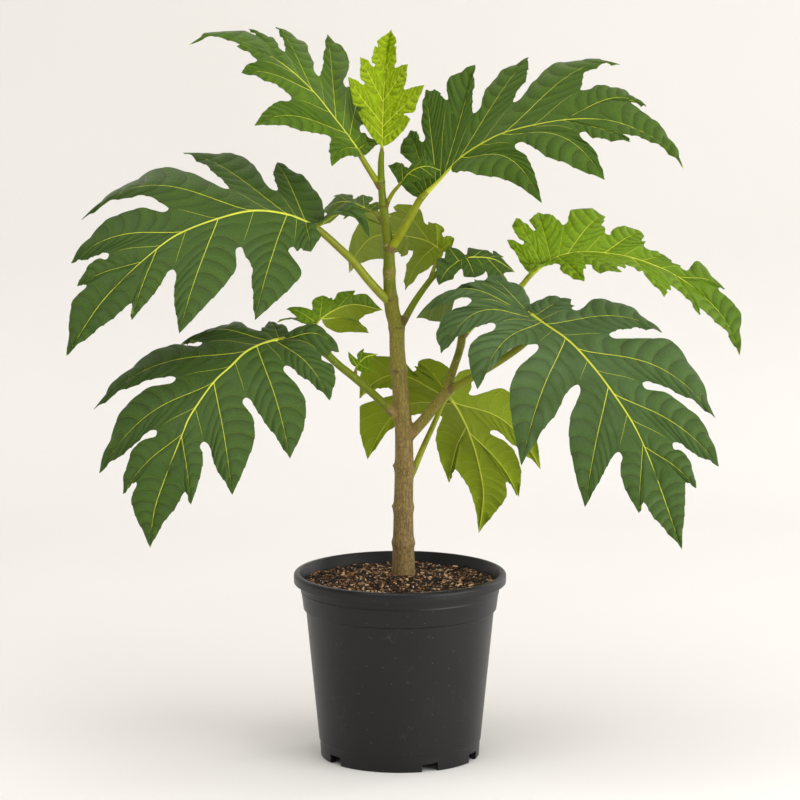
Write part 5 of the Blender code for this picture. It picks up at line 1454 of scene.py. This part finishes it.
def add_half_lobe(shape, layers, vein, outer, meet, joined, midrib, columns, seam, size, phase):
    """Lay a half lobe between its vein and its outer curve, and note what each corner needs."""
    rows = len(outer) - 1
    inner = [vein.at(share) for share in vein.shares]
    open_edge = seam if joined else 0

    def place(column, row):
        u = column / columns
        bend = ROW_ARC * (u * u - u) * min(1, row / VEIN_ROWS, (rows - row) / VEIN_ROWS)
        spot = row + bend
        point = read(inner, spot).lerp(read(outer, spot), u)
        on_rib = midrib.at(vein.share + (meet - vein.share) * u) - vein.root.lerp(outer[0], u)
        point += on_rib * max(0, 1 - row / seam) ** 2
        out = outer[row] - inner[row]
        if row > open_edge and u > 0.5 and out.length:
            full = min(TOOTH * size, TOOTH_SHARE * out.length)
            point += out.normalized() * full * tooth(row - open_edge, rows - open_edge) * (2 * u - 1) ** 3
        return point

    spots = lay_grid(shape, columns, rows, place)
    for corner, (column, row) in spots.items():
        u = column / columns
        between_veins = row % VEIN_ROWS / VEIN_ROWS
        full = math.sin(math.pi * between_veins ** PILLOW_SKEW) ** PILLOW_FULLNESS
        pillow = full * min(1, u * PILLOW_RISE)
        fade = min(1, (rows - row) / FADE_ROWS)
        shared = limited((open_edge + PARTING_ROWS / 2 - row) / PARTING_ROWS, 0, 1)
        vault = (u * (2 - u) * shared + 3 * u * (1 - u) * (1 - shared)) * min(1, row / VAULT_ROWS)
        swell = 1 - shared * u ** 1.5
        beyond = max(0, row - open_edge) / (rows - open_edge)
        wave = math.sin(math.tau * row / (VEIN_ROWS * VEINS_A_WAVE) + phase) * u * u * beyond * 2
        corner[layers["lift"]] = size * fade * (PILLOW * pillow * swell + BULGE * vault + WAVE * wave)
        corner[layers["swell"]] = swell
    return spots


print("relief of the quilting:", PILLOW, "m")

# %% [markdown]
# ### Leaf veins as a group
# The upper and lower faces of a blade share one vein pattern, so it is a group. The
# blade's own map gives centimetres from the lobe's vein and a count of side veins.
# Whole numbers of that count are side veins, and a fine net of cells lies between them.
# The skin is painted darker where it dips beyond each side vein, as painted shade, and painted paler where
# it swells again, as a painted highlight.

# %% The leaf vein group
net, given, out = new_group(
    "leaf_veins",
    {"Width": ("Float", 0.03), "Net Width": ("Float", 0.09)},
    {"Side Vein": "Float", "Net": "Float", "Patches": "Float", "Painted Shading": "Color"},
)
place = add(net, "UVMap", uv_map="blade").outputs["UV"]
spot = object_place(net)
counted = add(net, "SeparateXYZ", {"Vector": place}).outputs["Y"]
count = drifted(net, counted, clouds(net, spot, 26.0, 1.0), 0.5)
off = sum_up(net, "PINGPONG", count, 0.5)
line = minus(net, 1.0, between(net, off, 0.0, given["Width"]))
swell = stored(net, "swell")
cell = add(net, "TexVoronoi",
           {"Vector": drawn_out(net, place, (1.0, 1.1, 1.0)), "Scale": 3.6, "Randomness": 0.9},
           feature="DISTANCE_TO_EDGE", voronoi_dimensions="2D").outputs["Distance"]
# Painted shading of the quilting: darker just beyond each side vein as painted shade, paler before the next
# one as a painted highlight.
painted_shading_bands = ramp(net, sum_up(net, "FRACT", count), [
    (0.0, 0.6), (0.08, 0.72), (0.24, 0.86), (0.5, 0.99), (0.82, (1.16, 1.15, 1.15)), (0.94, 1.1),
    (1.0, 0.62),
])
fill(net, out, {
    "Side Vein": times(net, line, swell),
    "Net": minus(net, 1.0, between(net, cell, 0.0, given["Net Width"])),
    "Patches": clouds(net, spot, 38.0, 3.0),
    "Painted Shading": mix_colours(net, swell, (1, 1, 1, 1), painted_shading_bands),
})
print("group sockets:", [item.name for item in net.interface.items_tree])

# %% [markdown]
# ### The blade's upper face
# The upper skin is dark and satin, from blue-green on old leaves to yellow-green on new
# ones. Colour comes from the leaf's youth, then from slow patches, and the oldest green
# is painted paler and bluer as a painted sheen. Side veins are a pale thread, the net
# only a hint, and both also press into the surface. Small blisters lie between them,
# higher on young leaves, and the oldest skin is the glossiest.

# %% The upper face
upper, tree, shader = new_material("leaf_upper")
veins = use_group(tree, net, {"Width": 0.028, "Net Width": 0.11})
youth = stored(tree, "youth")
# The first stop, for the oldest leaf, is paler and bluer than the next: a painted sheen on top of the
# leaf's own blue-green.
green = ramp(tree, drifted(tree, youth, veins["Patches"], 0.22), [
    (0.0, (0.066, 0.128, 0.034)), (0.12, (0.042, 0.088, 0.012)), (0.36, (0.060, 0.125, 0.006)),
    (0.55, (0.130, 0.235, 0.002)), (0.78, (0.200, 0.340, 0.001)), (1.0, (0.300, 0.430, 0.001)),
])
thread = ramp(tree, youth, [
    (0.0, (0.20, 0.28, 0.035)), (0.4, (0.24, 0.36, 0.02)), (1.0, (0.55, 0.62, 0.02)),
])
# The green is darkened and lightened by the painted shading of the quilting.
green_with_painted_shading = mix_colours(tree, 1.0, green, veins["Painted Shading"], "MULTIPLY")
netted = mix_colours(tree, times(tree, veins["Net"], 0.14), green_with_painted_shading, thread)
soft = plus(tree, 0.16, times(tree, youth, youth))
blister = times(tree, clouds(tree, object_place(tree), 170.0, 2.0), soft)
dips = plus(tree, times(tree, veins["Side Vein"], -1.0), times(tree, veins["Net"], -0.35))
fill(tree, shader, {
    "Base Color": mix_colours(tree, times(tree, veins["Side Vein"], 0.6), netted, thread),
    "Roughness": plus(tree, 0.36, times(tree, veins["Patches"], 0.18)),
    "Specular IOR Level": ramp(tree, youth, [(0.0, 0.34), (0.1, 0.22), (0.5, 0.15), (0.9, 0.22)]),
    "Normal": bumped(tree, dips, 0.7, 0.0007, bumped(tree, blister, 0.8, 0.006)),
})
print("finish:", upper.name)

# %% [markdown]
# ### The underside
# Below, a leaf is paler and matt, and its veins stand out.

# %% The underside
under, tree, shader = new_material("leaf_underside")
veins = use_group(tree, net, {"Width": 0.05, "Net Width": 0.16})
pale = ramp(tree, drifted(tree, stored(tree, "youth"), veins["Patches"], 0.2), [
    (0.0, (0.10, 0.155, 0.03)), (0.3, (0.16, 0.225, 0.015)), (0.55, (0.21, 0.285, 0.006)),
    (0.8, (0.30, 0.39, 0.07)), (1.0, (0.36, 0.46, 0.03)),
])
ridge = mix_colours(tree, 0.5, pale, (0.42, 0.46, 0.09, 1))
netted = mix_colours(tree, times(tree, veins["Net"], 0.3), pale, ridge)
rises = plus(tree, veins["Side Vein"], times(tree, veins["Net"], 0.4))
fill(tree, shader, {
    "Base Color": mix_colours(tree, times(tree, veins["Side Vein"], 0.7), netted, ridge),
    "Roughness": 0.6,
    "Specular IOR Level": 0.12,
    "Normal": bumped(tree, rises, 0.5, 0.0006),
})
print("finish:", under.name)

# %% [markdown]
# ### Veins and stalks
# The midrib and lobe veins are a clear yellow-green. The stalks are yellow-olive with a
# smooth skin, and the side of them that faces up blushes a reddish brown. Where a stalk
# leaves the tree, it has the brown of a scar.

# %% Veins and stalks
vein_skin, tree, shader = new_material("leaf_vein")
cloud = clouds(tree, object_place(tree), 60.0, 3.0)
yellow = ramp(tree, stored(tree, "youth"), [
    (0.0, (0.64, 0.67, 0.03)), (0.5, (0.56, 0.62, 0.03)), (1.0, (0.76, 0.80, 0.06)),
])
dull = mix_colours(tree, 0.3, yellow, (0.30, 0.36, 0.05, 1))
fill(tree, shader, {
    "Base Color": mix_colours(tree, between(tree, cloud, 0.35, 0.7), yellow, dull),
    "Roughness": 0.42,
})

stalk_skin, tree, shader = new_material("leaf_stalk")
cloud = clouds(tree, object_place(tree), 90.0, 4.0)
olive = ramp(tree, stored(tree, "youth"), [
    (0.0, (0.21, 0.245, 0.002)), (0.5, (0.26, 0.31, 0.002)), (1.0, (0.44, 0.52, 0.004)),
])
warm = mix_colours(tree, between(tree, cloud, 0.35, 0.8), olive, (0.20, 0.19, 0.006, 1))
red = times(tree, between(tree, stored(tree, "blush"), 0.55, 0.98), plus(tree, cloud, 0.1))
blushed = mix_colours(tree, red, warm, (0.16, 0.065, 0.015, 1))
scar = times(tree, between(tree, plus(tree, stored(tree, "foot"), cloud), 0.95, 1.25), 0.85)
fill(tree, shader, {
    "Base Color": mix_colours(tree, scar, blushed, (0.15, 0.085, 0.035, 1)),
    "Roughness": 0.34,
    "Specular IOR Level": 0.3,
})
print("finishes:", vein_skin.name, stalk_skin.name)

# %% [markdown]
# ### One side of a blade
# Each side of a blade is laid without its relief first and welded. A few smoothing
# passes ease the folds where half lobes meet, but leave the edge alone. Then every
# corner moves out by its own lift. Corners on a lobe's vein or on a seam carry a line's
# number and a row, so that the veins can be laid along them afterwards.

# %% Lay and weld the half lobes
# For a big and a small leaf: rows along a seam, faces across, and side veins: their gap and most.
BIG_LEAF = (16, 12, 15.5 * MM, 7)
SMALL_LEAF = (8, 8, 9 * MM, 5)
BIG_LEAF_SIZE = 0.6
SMOOTH_PASSES = 3
PHASE_STEP = 1.9
# A corner's note is its line's number times the stride, plus its row. Seams count from here.
STRIDE = 1000
SEAM_LINES = 50
TOP, UNDER, VEIN_FINISH, STALK_FINISH = range(4)


def leaf_bmesh():
    """An empty bmesh with the layers that the leaf finishes read."""
    shape = bmesh.new()
    values = ("lift", "swell", "youth", "blush", "foot")
    layers = {name: shape.verts.layers.float.new(name) for name in values}
    layers["line"] = shape.verts.layers.int.new("line")
    layers["uv"] = shape.loops.layers.uv.new("blade")
    return shape, layers


def mark_faces(shape, layers, spots, phase_rows, width, finish):
    """Give new faces their finish and a map: centimetres from the vein, and side veins counted."""
    for face in {face for corner in spots for face in corner.link_faces}:
        face.material_index = finish
        face.smooth = True
        for loop in face.loops:
            column, row = spots[loop.vert]
            loop[layers["uv"]].uv = (column * width, row / phase_rows)


def lay_side(leaf, side, midrib, size):
    """The half lobes of one side of a blade, side by side, and its veins."""
    seam, columns, spacing, most = BIG_LEAF if size > BIG_LEAF_SIZE else SMALL_LEAF
    veins = side_veins(leaf, side, midrib)
    for vein in veins:
        vein.set_rows(seam, spacing, most)
    shape, layers = leaf_bmesh()
    bare = leaf.get("bare", (0, 0))[side == "right"]
    patches = [(0, *basal_half_lobe(veins[0], veins[1], bare, midrib), False)]
    for index, (here, there) in enumerate(zip(veins, veins[1:])):
        patches.append((index, *half_lobe(here, there, midrib, seam, size), True))
        patches.append((index + 1, *half_lobe(there, here, midrib, seam, size), True))
    for number, (index, outer, meet, joined) in enumerate(patches):
        vein = veins[index]
        spots = add_half_lobe(shape, layers, vein, outer, meet, joined, midrib,
                              columns, seam, size, number * PHASE_STEP)
        width = (outer[seam] - vein.at(SEAM_SHARE)).length / columns / CM
        mark_faces(shape, layers, spots, VEIN_ROWS, width, TOP)
        pair = (number + 1) // 2
        has_seam = joined and pair < len(veins) - 1
        for corner, (column, row) in spots.items():
            if column == 0:
                corner[layers["line"]] = STRIDE * (index + 1) + row
            elif has_seam and column == columns and row <= seam:
                corner[layers["line"]] = STRIDE * (SEAM_LINES + pair) + row
    return shape, layers, veins


def weld_and_lift(shape, layers, up):
    """Join the half lobes into one sheet that faces up, ease its folds and lift its corners."""
    bmesh.ops.remove_doubles(shape, verts=shape.verts, dist=0.02 * MM)
    bmesh.ops.dissolve_degenerate(shape, edges=shape.edges, dist=0.01 * MM)
    bmesh.ops.recalc_face_normals(shape, faces=shape.faces)
    if sum((face.normal * face.calc_area() for face in shape.faces), Vector()).dot(up) < 0:
        bmesh.ops.reverse_faces(shape, faces=shape.faces)
    inside = [corner for corner in shape.verts if not corner.is_boundary]
    smooth_corners(shape, inside, SMOOTH_PASSES)
    shape.normal_update()
    for corner in shape.verts:
        corner.co += corner.normal * corner[layers["lift"]]
    shape.normal_update()


print("faces across a half lobe:", BIG_LEAF[1])

# %% [markdown]
# The finished side is kept inside its CAD box, and each corner gets its youth. Solidify
# gives the sheet its thickness, with a second material on the side that faces down.

# %% Finish a side
BLADE_THICKNESS = 0.5 * MM
INSET = 0.5 * MM
VEIN_DRIFT = 4 * MM
SEAM_VEIN = 0.5
FEWEST_CORNERS = 4


def read_lines(shape, layers, veins):
    """The row, place and direction of each corner on a lobe's vein or a seam, line by line."""
    lines = {}
    for corner in shape.verts:
        index, row = divmod(corner[layers["line"]], STRIDE)
        on_vein = 0 < index < len(veins) and row < veins[index - 1].rows
        if on_vein:
            vein = veins[index - 1]
            on_vein = (corner.co - vein.at(vein.shares[row])).length < VEIN_DRIFT
        if on_vein or index > SEAM_LINES:
            lines.setdefault(index, []).append((row, corner.co.copy(), corner.normal.copy()))
    return [
        (sorted(line, key=lambda spot: spot[0]), SEAM_VEIN if index > SEAM_LINES else 1.0)
        for index, line in lines.items() if len(line) >= FEWEST_CORNERS
    ]


def blade_side(name, leaf, side, midrib, up, size):
    """The mesh of one side of a blade, and the lines of its lobe veins and seams."""
    shape, layers, veins = lay_side(leaf, side, midrib, size)
    weld_and_lift(shape, layers, up)
    base, reach = midrib.at(0), midrib.length() * CM
    young_base, young_tip = leaf["youth"]
    box_low, box_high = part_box(name)
    for corner in shape.verts:
        corner.co = Vector(limited(value, low + INSET, high - INSET)
                           for value, low, high in zip(corner.co, box_low, box_high))
        far = min((corner.co - base).length / reach, 1)
        corner[layers["youth"]] = young_base + (young_tip - young_base) * far
    lines = read_lines(shape, layers, veins)
    sheet = new_object(f"{name}_{side}", shape, upper, under)
    solid = sheet.modifiers.new("thickness", "SOLIDIFY")
    solid.thickness = BLADE_THICKNESS
    solid.offset = 0.0
    solid.material_offset = 1
    applied(sheet)
    mesh = sheet.data
    bpy.data.objects.remove(sheet)
    return mesh, lines


print("blade thickness:", BLADE_THICKNESS, "m")

# %% [markdown]
# ### Stalk, midrib and veins
# The stalk runs on into the midrib, and both are tubes that taper from the trunk to the
# leaf's tip. The midrib is sunk a little, since it stands out mostly below the blade.
# The lobe veins are thin tubes along the sheet's own corners, so they follow the
# quilting exactly. Thinner ones run along the seams to the bays. A tube's upper side
# keeps a blush value for the reddish skin there.

# %% Build the stem and the veins
STALK_STEP = 3 * MM
MIDRIB_STEP = 5 * MM
STALK_SIDES = 20
MIDRIB_SIDES = 14
VEIN_SIDES = 8
MIDRIB_SINK = 0.4
VEIN_SINK = 0.35
# The midrib is this share of the stalk's radius, and this much more in centimetres at its tip.
MIDRIB_SHARE = 0.26
MIDRIB_TIP = 0.054
# The stalk's radius passes into the midrib's within this share of the midrib.
STALK_RUN = 0.12
KNEE_ROWS = 3
KNEE_PASSES = 4
FOOT_FLARE = 0.22
FOOT_REACH = 7 * MM
SCAR_REACH = 13 * MM
# A lobe vein's radius in millimetres: the least, the most, and the length that adds one.
THIN_VEIN = 0.3
THICK_VEIN = 0.64
VEIN_GROWTH = 26 * CM
# A tube's map is plain: so many rows to a unit, and a face so wide.
TUBE_MAP = (10, 0.1)


def add_tube(shape, layers, points, radii, sides, finish, youth):
    """Roll a tube into the leaf's bmesh and mark its faces and corners."""
    spots = roll_tube(shape, points, radii, sides)
    mark_faces(shape, layers, spots, *TUBE_MAP, finish)
    for corner, (_, row) in spots.items():
        middle = points[limited(row - 1, 0, len(points) - 1)]
        out = corner.co - middle
        corner[layers["youth"]] = youth
        corner[layers["blush"]] = max(0, out.normalized().z) ** 2 if out.length else 0
    return spots


def stem_and_midrib(shape, layers, leaf, midrib, up):
    """The stalk and the midrib as two tapering tubes that overlap where they meet."""
    stalk = Path(leaf["stalk"])
    youth = leaf["youth"][0]
    thick, thin = leaf["radius"]
    steps = max(4, round(stalk.length() * CM / STALK_STEP))
    ribs = max(8, round(midrib.length() * CM / MIDRIB_STEP))
    points, radii = [], []
    for step in range(steps):
        share = step / steps
        flare = 1 + FOOT_FLARE * math.exp(-(share * stalk.length() * CM / FOOT_REACH) ** 2)
        points.append(stalk.at(share))
        radii.append((thick + (thin - thick) * share) * flare * CM)
    for step in range(ribs + 1):
        share = step / ribs
        rib = thin * (1 - share) ** 1.2 * MIDRIB_SHARE + MIDRIB_TIP
        radius = rib + (thin - rib) * max(0, 1 - share / STALK_RUN) ** 2
        sink = MIDRIB_SINK * min(1, share * 12) * (1 - share)
        points.append(midrib.at(share) - square_to(midrib, share, up) * radius * sink * CM)
        radii.append(radius * CM)
    relaxed(points, steps - KNEE_ROWS, steps + KNEE_ROWS + 1, KNEE_PASSES)
    foot, end = points[0], steps + KNEE_ROWS
    spots = add_tube(shape, layers, points[:end], radii[:end], STALK_SIDES, STALK_FINISH, youth)
    for corner in spots:
        corner[layers["foot"]] = math.exp(-((corner.co - foot).length / SCAR_REACH) ** 2)
    add_tube(shape, layers, points[steps:], radii[steps:], MIDRIB_SIDES, VEIN_FINISH, youth)


def lobe_vein(shape, layers, line, thickness, youth):
    """A thin tapering tube along one lobe's vein, or a thinner one along a seam to its bay."""
    step = 3 if thickness == 1.0 else 1
    kept = line[::step]
    if (len(line) - 1) % step:
        kept.append(line[-1])
    length = sum((here[1] - there[1]).length for here, there in zip(kept, kept[1:]))
    thick = min(THICK_VEIN, THIN_VEIN + length / VEIN_GROWTH) * thickness * MM
    points, radii = [], []
    for index, (_, spot, normal) in enumerate(kept):
        share = index / (len(kept) - 1)
        radius = thick * (1 - 0.5 * share)
        points.append(spot + normal * (BLADE_THICKNESS / 2 - radius * VEIN_SINK) * (1 - share ** 6))
        radii.append(radius)
    add_tube(shape, layers, points, radii, VEIN_SIDES, VEIN_FINISH, youth)


print("stalk sides:", STALK_SIDES)

# %% [markdown]
# ### Every leaf
# The youth of a leaf sets its greens: the crown leaf has just opened and is almost
# yellow, and the old lower leaves are dark. Each pair gives the base and the tip.

# %% Grow the leaves
YOUTH = {
    "leaf_crown": (0.95, 1.0), "leaf_upper_left": (0.42, 0.34), "leaf_upper_right": (0.32, 0.30),
    "leaf_small_top": (0.34, 0.36), "leaf_left": (0.16, 0.14), "leaf_lower_left": (0.13, 0.15),
    "leaf_inner_left": (0.55, 0.52), "leaf_behind": (0.56, 0.78), "leaf_behind_upper": (0.45, 0.42),
    "leaf_inner_right": (0.2, 0.24), "leaf_right": (0.0, 0.15), "leaf_right_back": (0.78, 0.34),
    "leaf_low_back": (0.5, 0.52), "leaf_shoot": (0.5, 0.55),
}
# The crown leaf stands upright, so its upper face looks forward.
FACING = {"leaf_crown": Vector((0, -1, 0.3))}
# A leaf this long in centimetres or longer has the full relief.
FULL_LEAF = 30
BUD_YOUTH = 0.4


def add_bud(shape, layers, centre, radius):
    """A round knob where the stalk meets the blade."""
    made = bmesh.ops.create_icosphere(shape, subdivisions=4, radius=radius * CM)
    for corner in made["verts"]:
        corner.co += Vector(centre) * CM
        corner[layers["youth"]] = BUD_YOUTH
    for face in {face for corner in made["verts"] for face in corner.link_faces}:
        face.material_index = STALK_FINISH
        face.smooth = True


def weld_tubes(shape):
    """Join the corners that a tube has twice, and leave the blades as they are."""
    corners = [corner for corner in shape.verts
               if corner.link_faces[0].material_index not in (TOP, UNDER)]
    bmesh.ops.remove_doubles(shape, verts=corners, dist=0.001 * MM)
    bmesh.ops.recalc_face_normals(shape, faces=shape.faces)


leaves = {}
for name, leaf in LEAVES.items():
    leaf["youth"] = YOUTH[name]
    up = FACING.get(name, UP)
    midrib = Path(leaf["midrib"])
    size = min(1.0, midrib.length() / FULL_LEAF)
    shape, _ = leaf_bmesh()
    veins = []
    for side in ("left", "right"):
        mesh, lines = blade_side(name, leaf, side, midrib, up, size)
        shape.from_mesh(mesh)
        veins += lines
    # Taking in a mesh moves the layers, so they are looked up again.
    layers = {key: shape.verts.layers.float[key] for key in ("youth", "blush", "foot")}
    layers["uv"] = shape.loops.layers.uv["blade"]
    stem_and_midrib(shape, layers, leaf, midrib, up)
    for line, thickness in veins:
        lobe_vein(shape, layers, line, thickness, YOUTH[name][0])
    if "bud" in leaf:
        *centre, radius = leaf["bud"]
        add_bud(shape, layers, centre, radius)
    weld_tubes(shape)
    made = new_object(f"{name}_grown", shape, upper, under, vein_skin, stalk_skin)
    made.data.set_sharp_from_angle(angle=math.radians(60))
    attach(made, "root")
    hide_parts(name)
    leaves[name] = made
    print(name, "faces:", len(made.data.polygons))

# %% [markdown]
# ## Finishes of wood and soil
# ### Bark
# The bark turns from brown at the foot to green near the top. Fine dark cracks run
# along it, pale dots are its pores, and the rings and collars are tan and brown.

# %% The bark
bark, tree, shader = new_material("trunk_bark")
spot = object_place(tree)
age = stored(tree, "age")
cloud = clouds(tree, spot, 55.0, 5.0)
streak = clouds(tree, drawn_out(tree, spot, (420.0, 420.0, 45.0)), 1.0, 5.0, 0.65)
skin = ramp(tree, drifted(tree, age, cloud, 0.5), [
    (0.0, (0.155, 0.215, 0.002)), (0.22, (0.135, 0.17, 0.003)), (0.45, (0.25, 0.225, 0.03)),
    (0.7, (0.285, 0.2, 0.058)), (1.0, (0.27, 0.18, 0.064)),
])
woody = times(tree, sum_up(tree, "ADD", age, 0.1, clamp=True), 0.55)
lined = times(tree, between(tree, streak, 0.52, 0.34), woody)
dark = mix_colours(tree, lined, skin, (0.055, 0.045, 0.02, 1))
crack = add(tree, "TexVoronoi", {"Vector": drawn_out(tree, spot, (1.0, 1.0, 0.45)), "Scale": 300.0},
            feature="DISTANCE_TO_EDGE").outputs["Distance"]
cracked = times(tree, minus(tree, 1.0, between(tree, crack, 0.02, 0.16)), woody)
dark = mix_colours(tree, cracked, dark, (0.07, 0.055, 0.025, 1))
flaked = times(tree, between(tree, streak, 0.55, 0.72), 0.4)
light = mix_colours(tree, flaked, dark, (0.33, 0.28, 0.15, 1))
pores = add(tree, "TexVoronoi", {"Vector": drawn_out(tree, spot, (1.0, 1.0, 0.55)), "Scale": 330.0})
pore = times(tree, between(tree, pores.outputs["Distance"], 0.28, 0.12), few(tree, pores, 0.66, 0.8))
spotted = mix_colours(tree, times(tree, pore, 0.6), light, (0.42, 0.36, 0.22, 1))
collar = mix_colours(tree, between(tree, cloud, 0.4, 0.62),
                     (0.085, 0.05, 0.022, 1), (0.30, 0.205, 0.085, 1))
ringed = times(tree, between(tree, stored(tree, "ring"), 0.35, 0.9), 0.75)
fill(tree, shader, {
    "Base Color": mix_colours(tree, ringed, spotted, collar),
    "Roughness": minus(tree, 0.6, times(tree, minus(tree, 1.0, age), 0.2)),
    "Specular IOR Level": 0.16,
    "Normal": bumped(tree, plus(tree, streak, times(tree, pore, 0.4)), 0.7, 0.0008),
})
dress(trunk, bark)
print("finish:", bark.name)

# %% [markdown]
# ### Soil, bark shreds and perlite
# Peat is nearly black where it is wet and brown where it has dried. The shreds read
# their own shade, and the perlite is a chalky white that has picked up some soil.

# %% The soil's finishes
peat_skin, tree, shader = new_material("soil_peat_skin")
spot = object_place(tree)
crumbs = clouds(tree, spot, 480.0, 6.0, 0.7)
wet = times(tree, clouds(tree, spot, 70.0, 3.0), 0.6)
brown = ramp(tree, crumbs, [
    (0.3, (0.006, 0.004, 0.003)), (0.55, (0.024, 0.014, 0.009)), (0.75, (0.08, 0.045, 0.025)),
])
fill(tree, shader, {
    "Base Color": mix_colours(tree, wet, brown, (0.016, 0.010, 0.007, 1)),
    "Roughness": 0.95,
    "Normal": bumped(tree, crumbs, 1.0, 0.002),
})

chip_skin, tree, shader = new_material("soil_bark_skin")
fibre = clouds(tree, object_place(tree), 700.0, 4.0)
fill(tree, shader, {
    "Base Color": ramp(tree, drifted(tree, stored(tree, "shade"), fibre, 0.35), [
        (0.0, (0.010, 0.005, 0.003)), (0.35, (0.075, 0.034, 0.014)), (0.7, (0.33, 0.155, 0.055)),
        (1.0, (0.80, 0.53, 0.29)),
    ]),
    "Roughness": 0.8,
    "Normal": bumped(tree, fibre, 0.6, 0.0006),
})

perlite_skin, tree, shader = new_material("perlite_skin")
soiled = clouds(tree, object_place(tree), 500.0, 3.0)
fill(tree, shader, {
    "Base Color": ramp(tree, soiled, [(0.3, (0.34, 0.27, 0.19)), (0.5, (0.82, 0.79, 0.73))]),
    "Roughness": 0.85,
})

dress(soil, peat_skin)
dress(bark_chips, chip_skin)
dress(fibres, chip_skin)
dress(perlite, perlite_skin)
print("soil finishes:", peat_skin.name, chip_skin.name, perlite_skin.name)

# %% [markdown]
# ### The studio paper
# The backdrop is a warm off-white with the faintest mottling, as from matt paper. Where it rises
# behind the plant it is painted darker, as painted shade for the lamps' falloff.

# %% The backdrop's paper
paper_skin, tree, shader = new_material("studio_paper")
spot = object_place(tree)
mottle = clouds(tree, spot, 1.3, 2.0)
white = ramp(tree, mottle, [(0.3, (0.90, 0.88, 0.855)), (0.7, (0.93, 0.91, 0.89))])
# Painted shade: the paper above the floor gets this darker colour, where the lamps reach less.
grey = ramp(tree, mottle, [(0.3, (0.81, 0.785, 0.75)), (0.7, (0.84, 0.815, 0.785))])
height = add(tree, "SeparateXYZ", {"Vector": spot}).outputs["Z"]
fill(tree, shader, {
    "Base Color": mix_colours(tree, between(tree, height, 0.0, 0.35), white, grey),
    "Roughness": 0.9,
})
dress(backdrop, paper_skin)
print("paper:", paper_skin.name)

# %% [markdown]
# ## Finish
# The triangles of each finer piece are counted and printed, with their sum.

# %% Count the triangles
triangles = 0
for piece in [pot, soil, bark_chips, fibres, perlite, trunk, *leaves.values()]:
    piece.data.calc_loop_triangles()
    count = len(piece.data.loop_triangles)
    triangles += count
    print(piece.name, count)
print("triangles in all:", triangles)
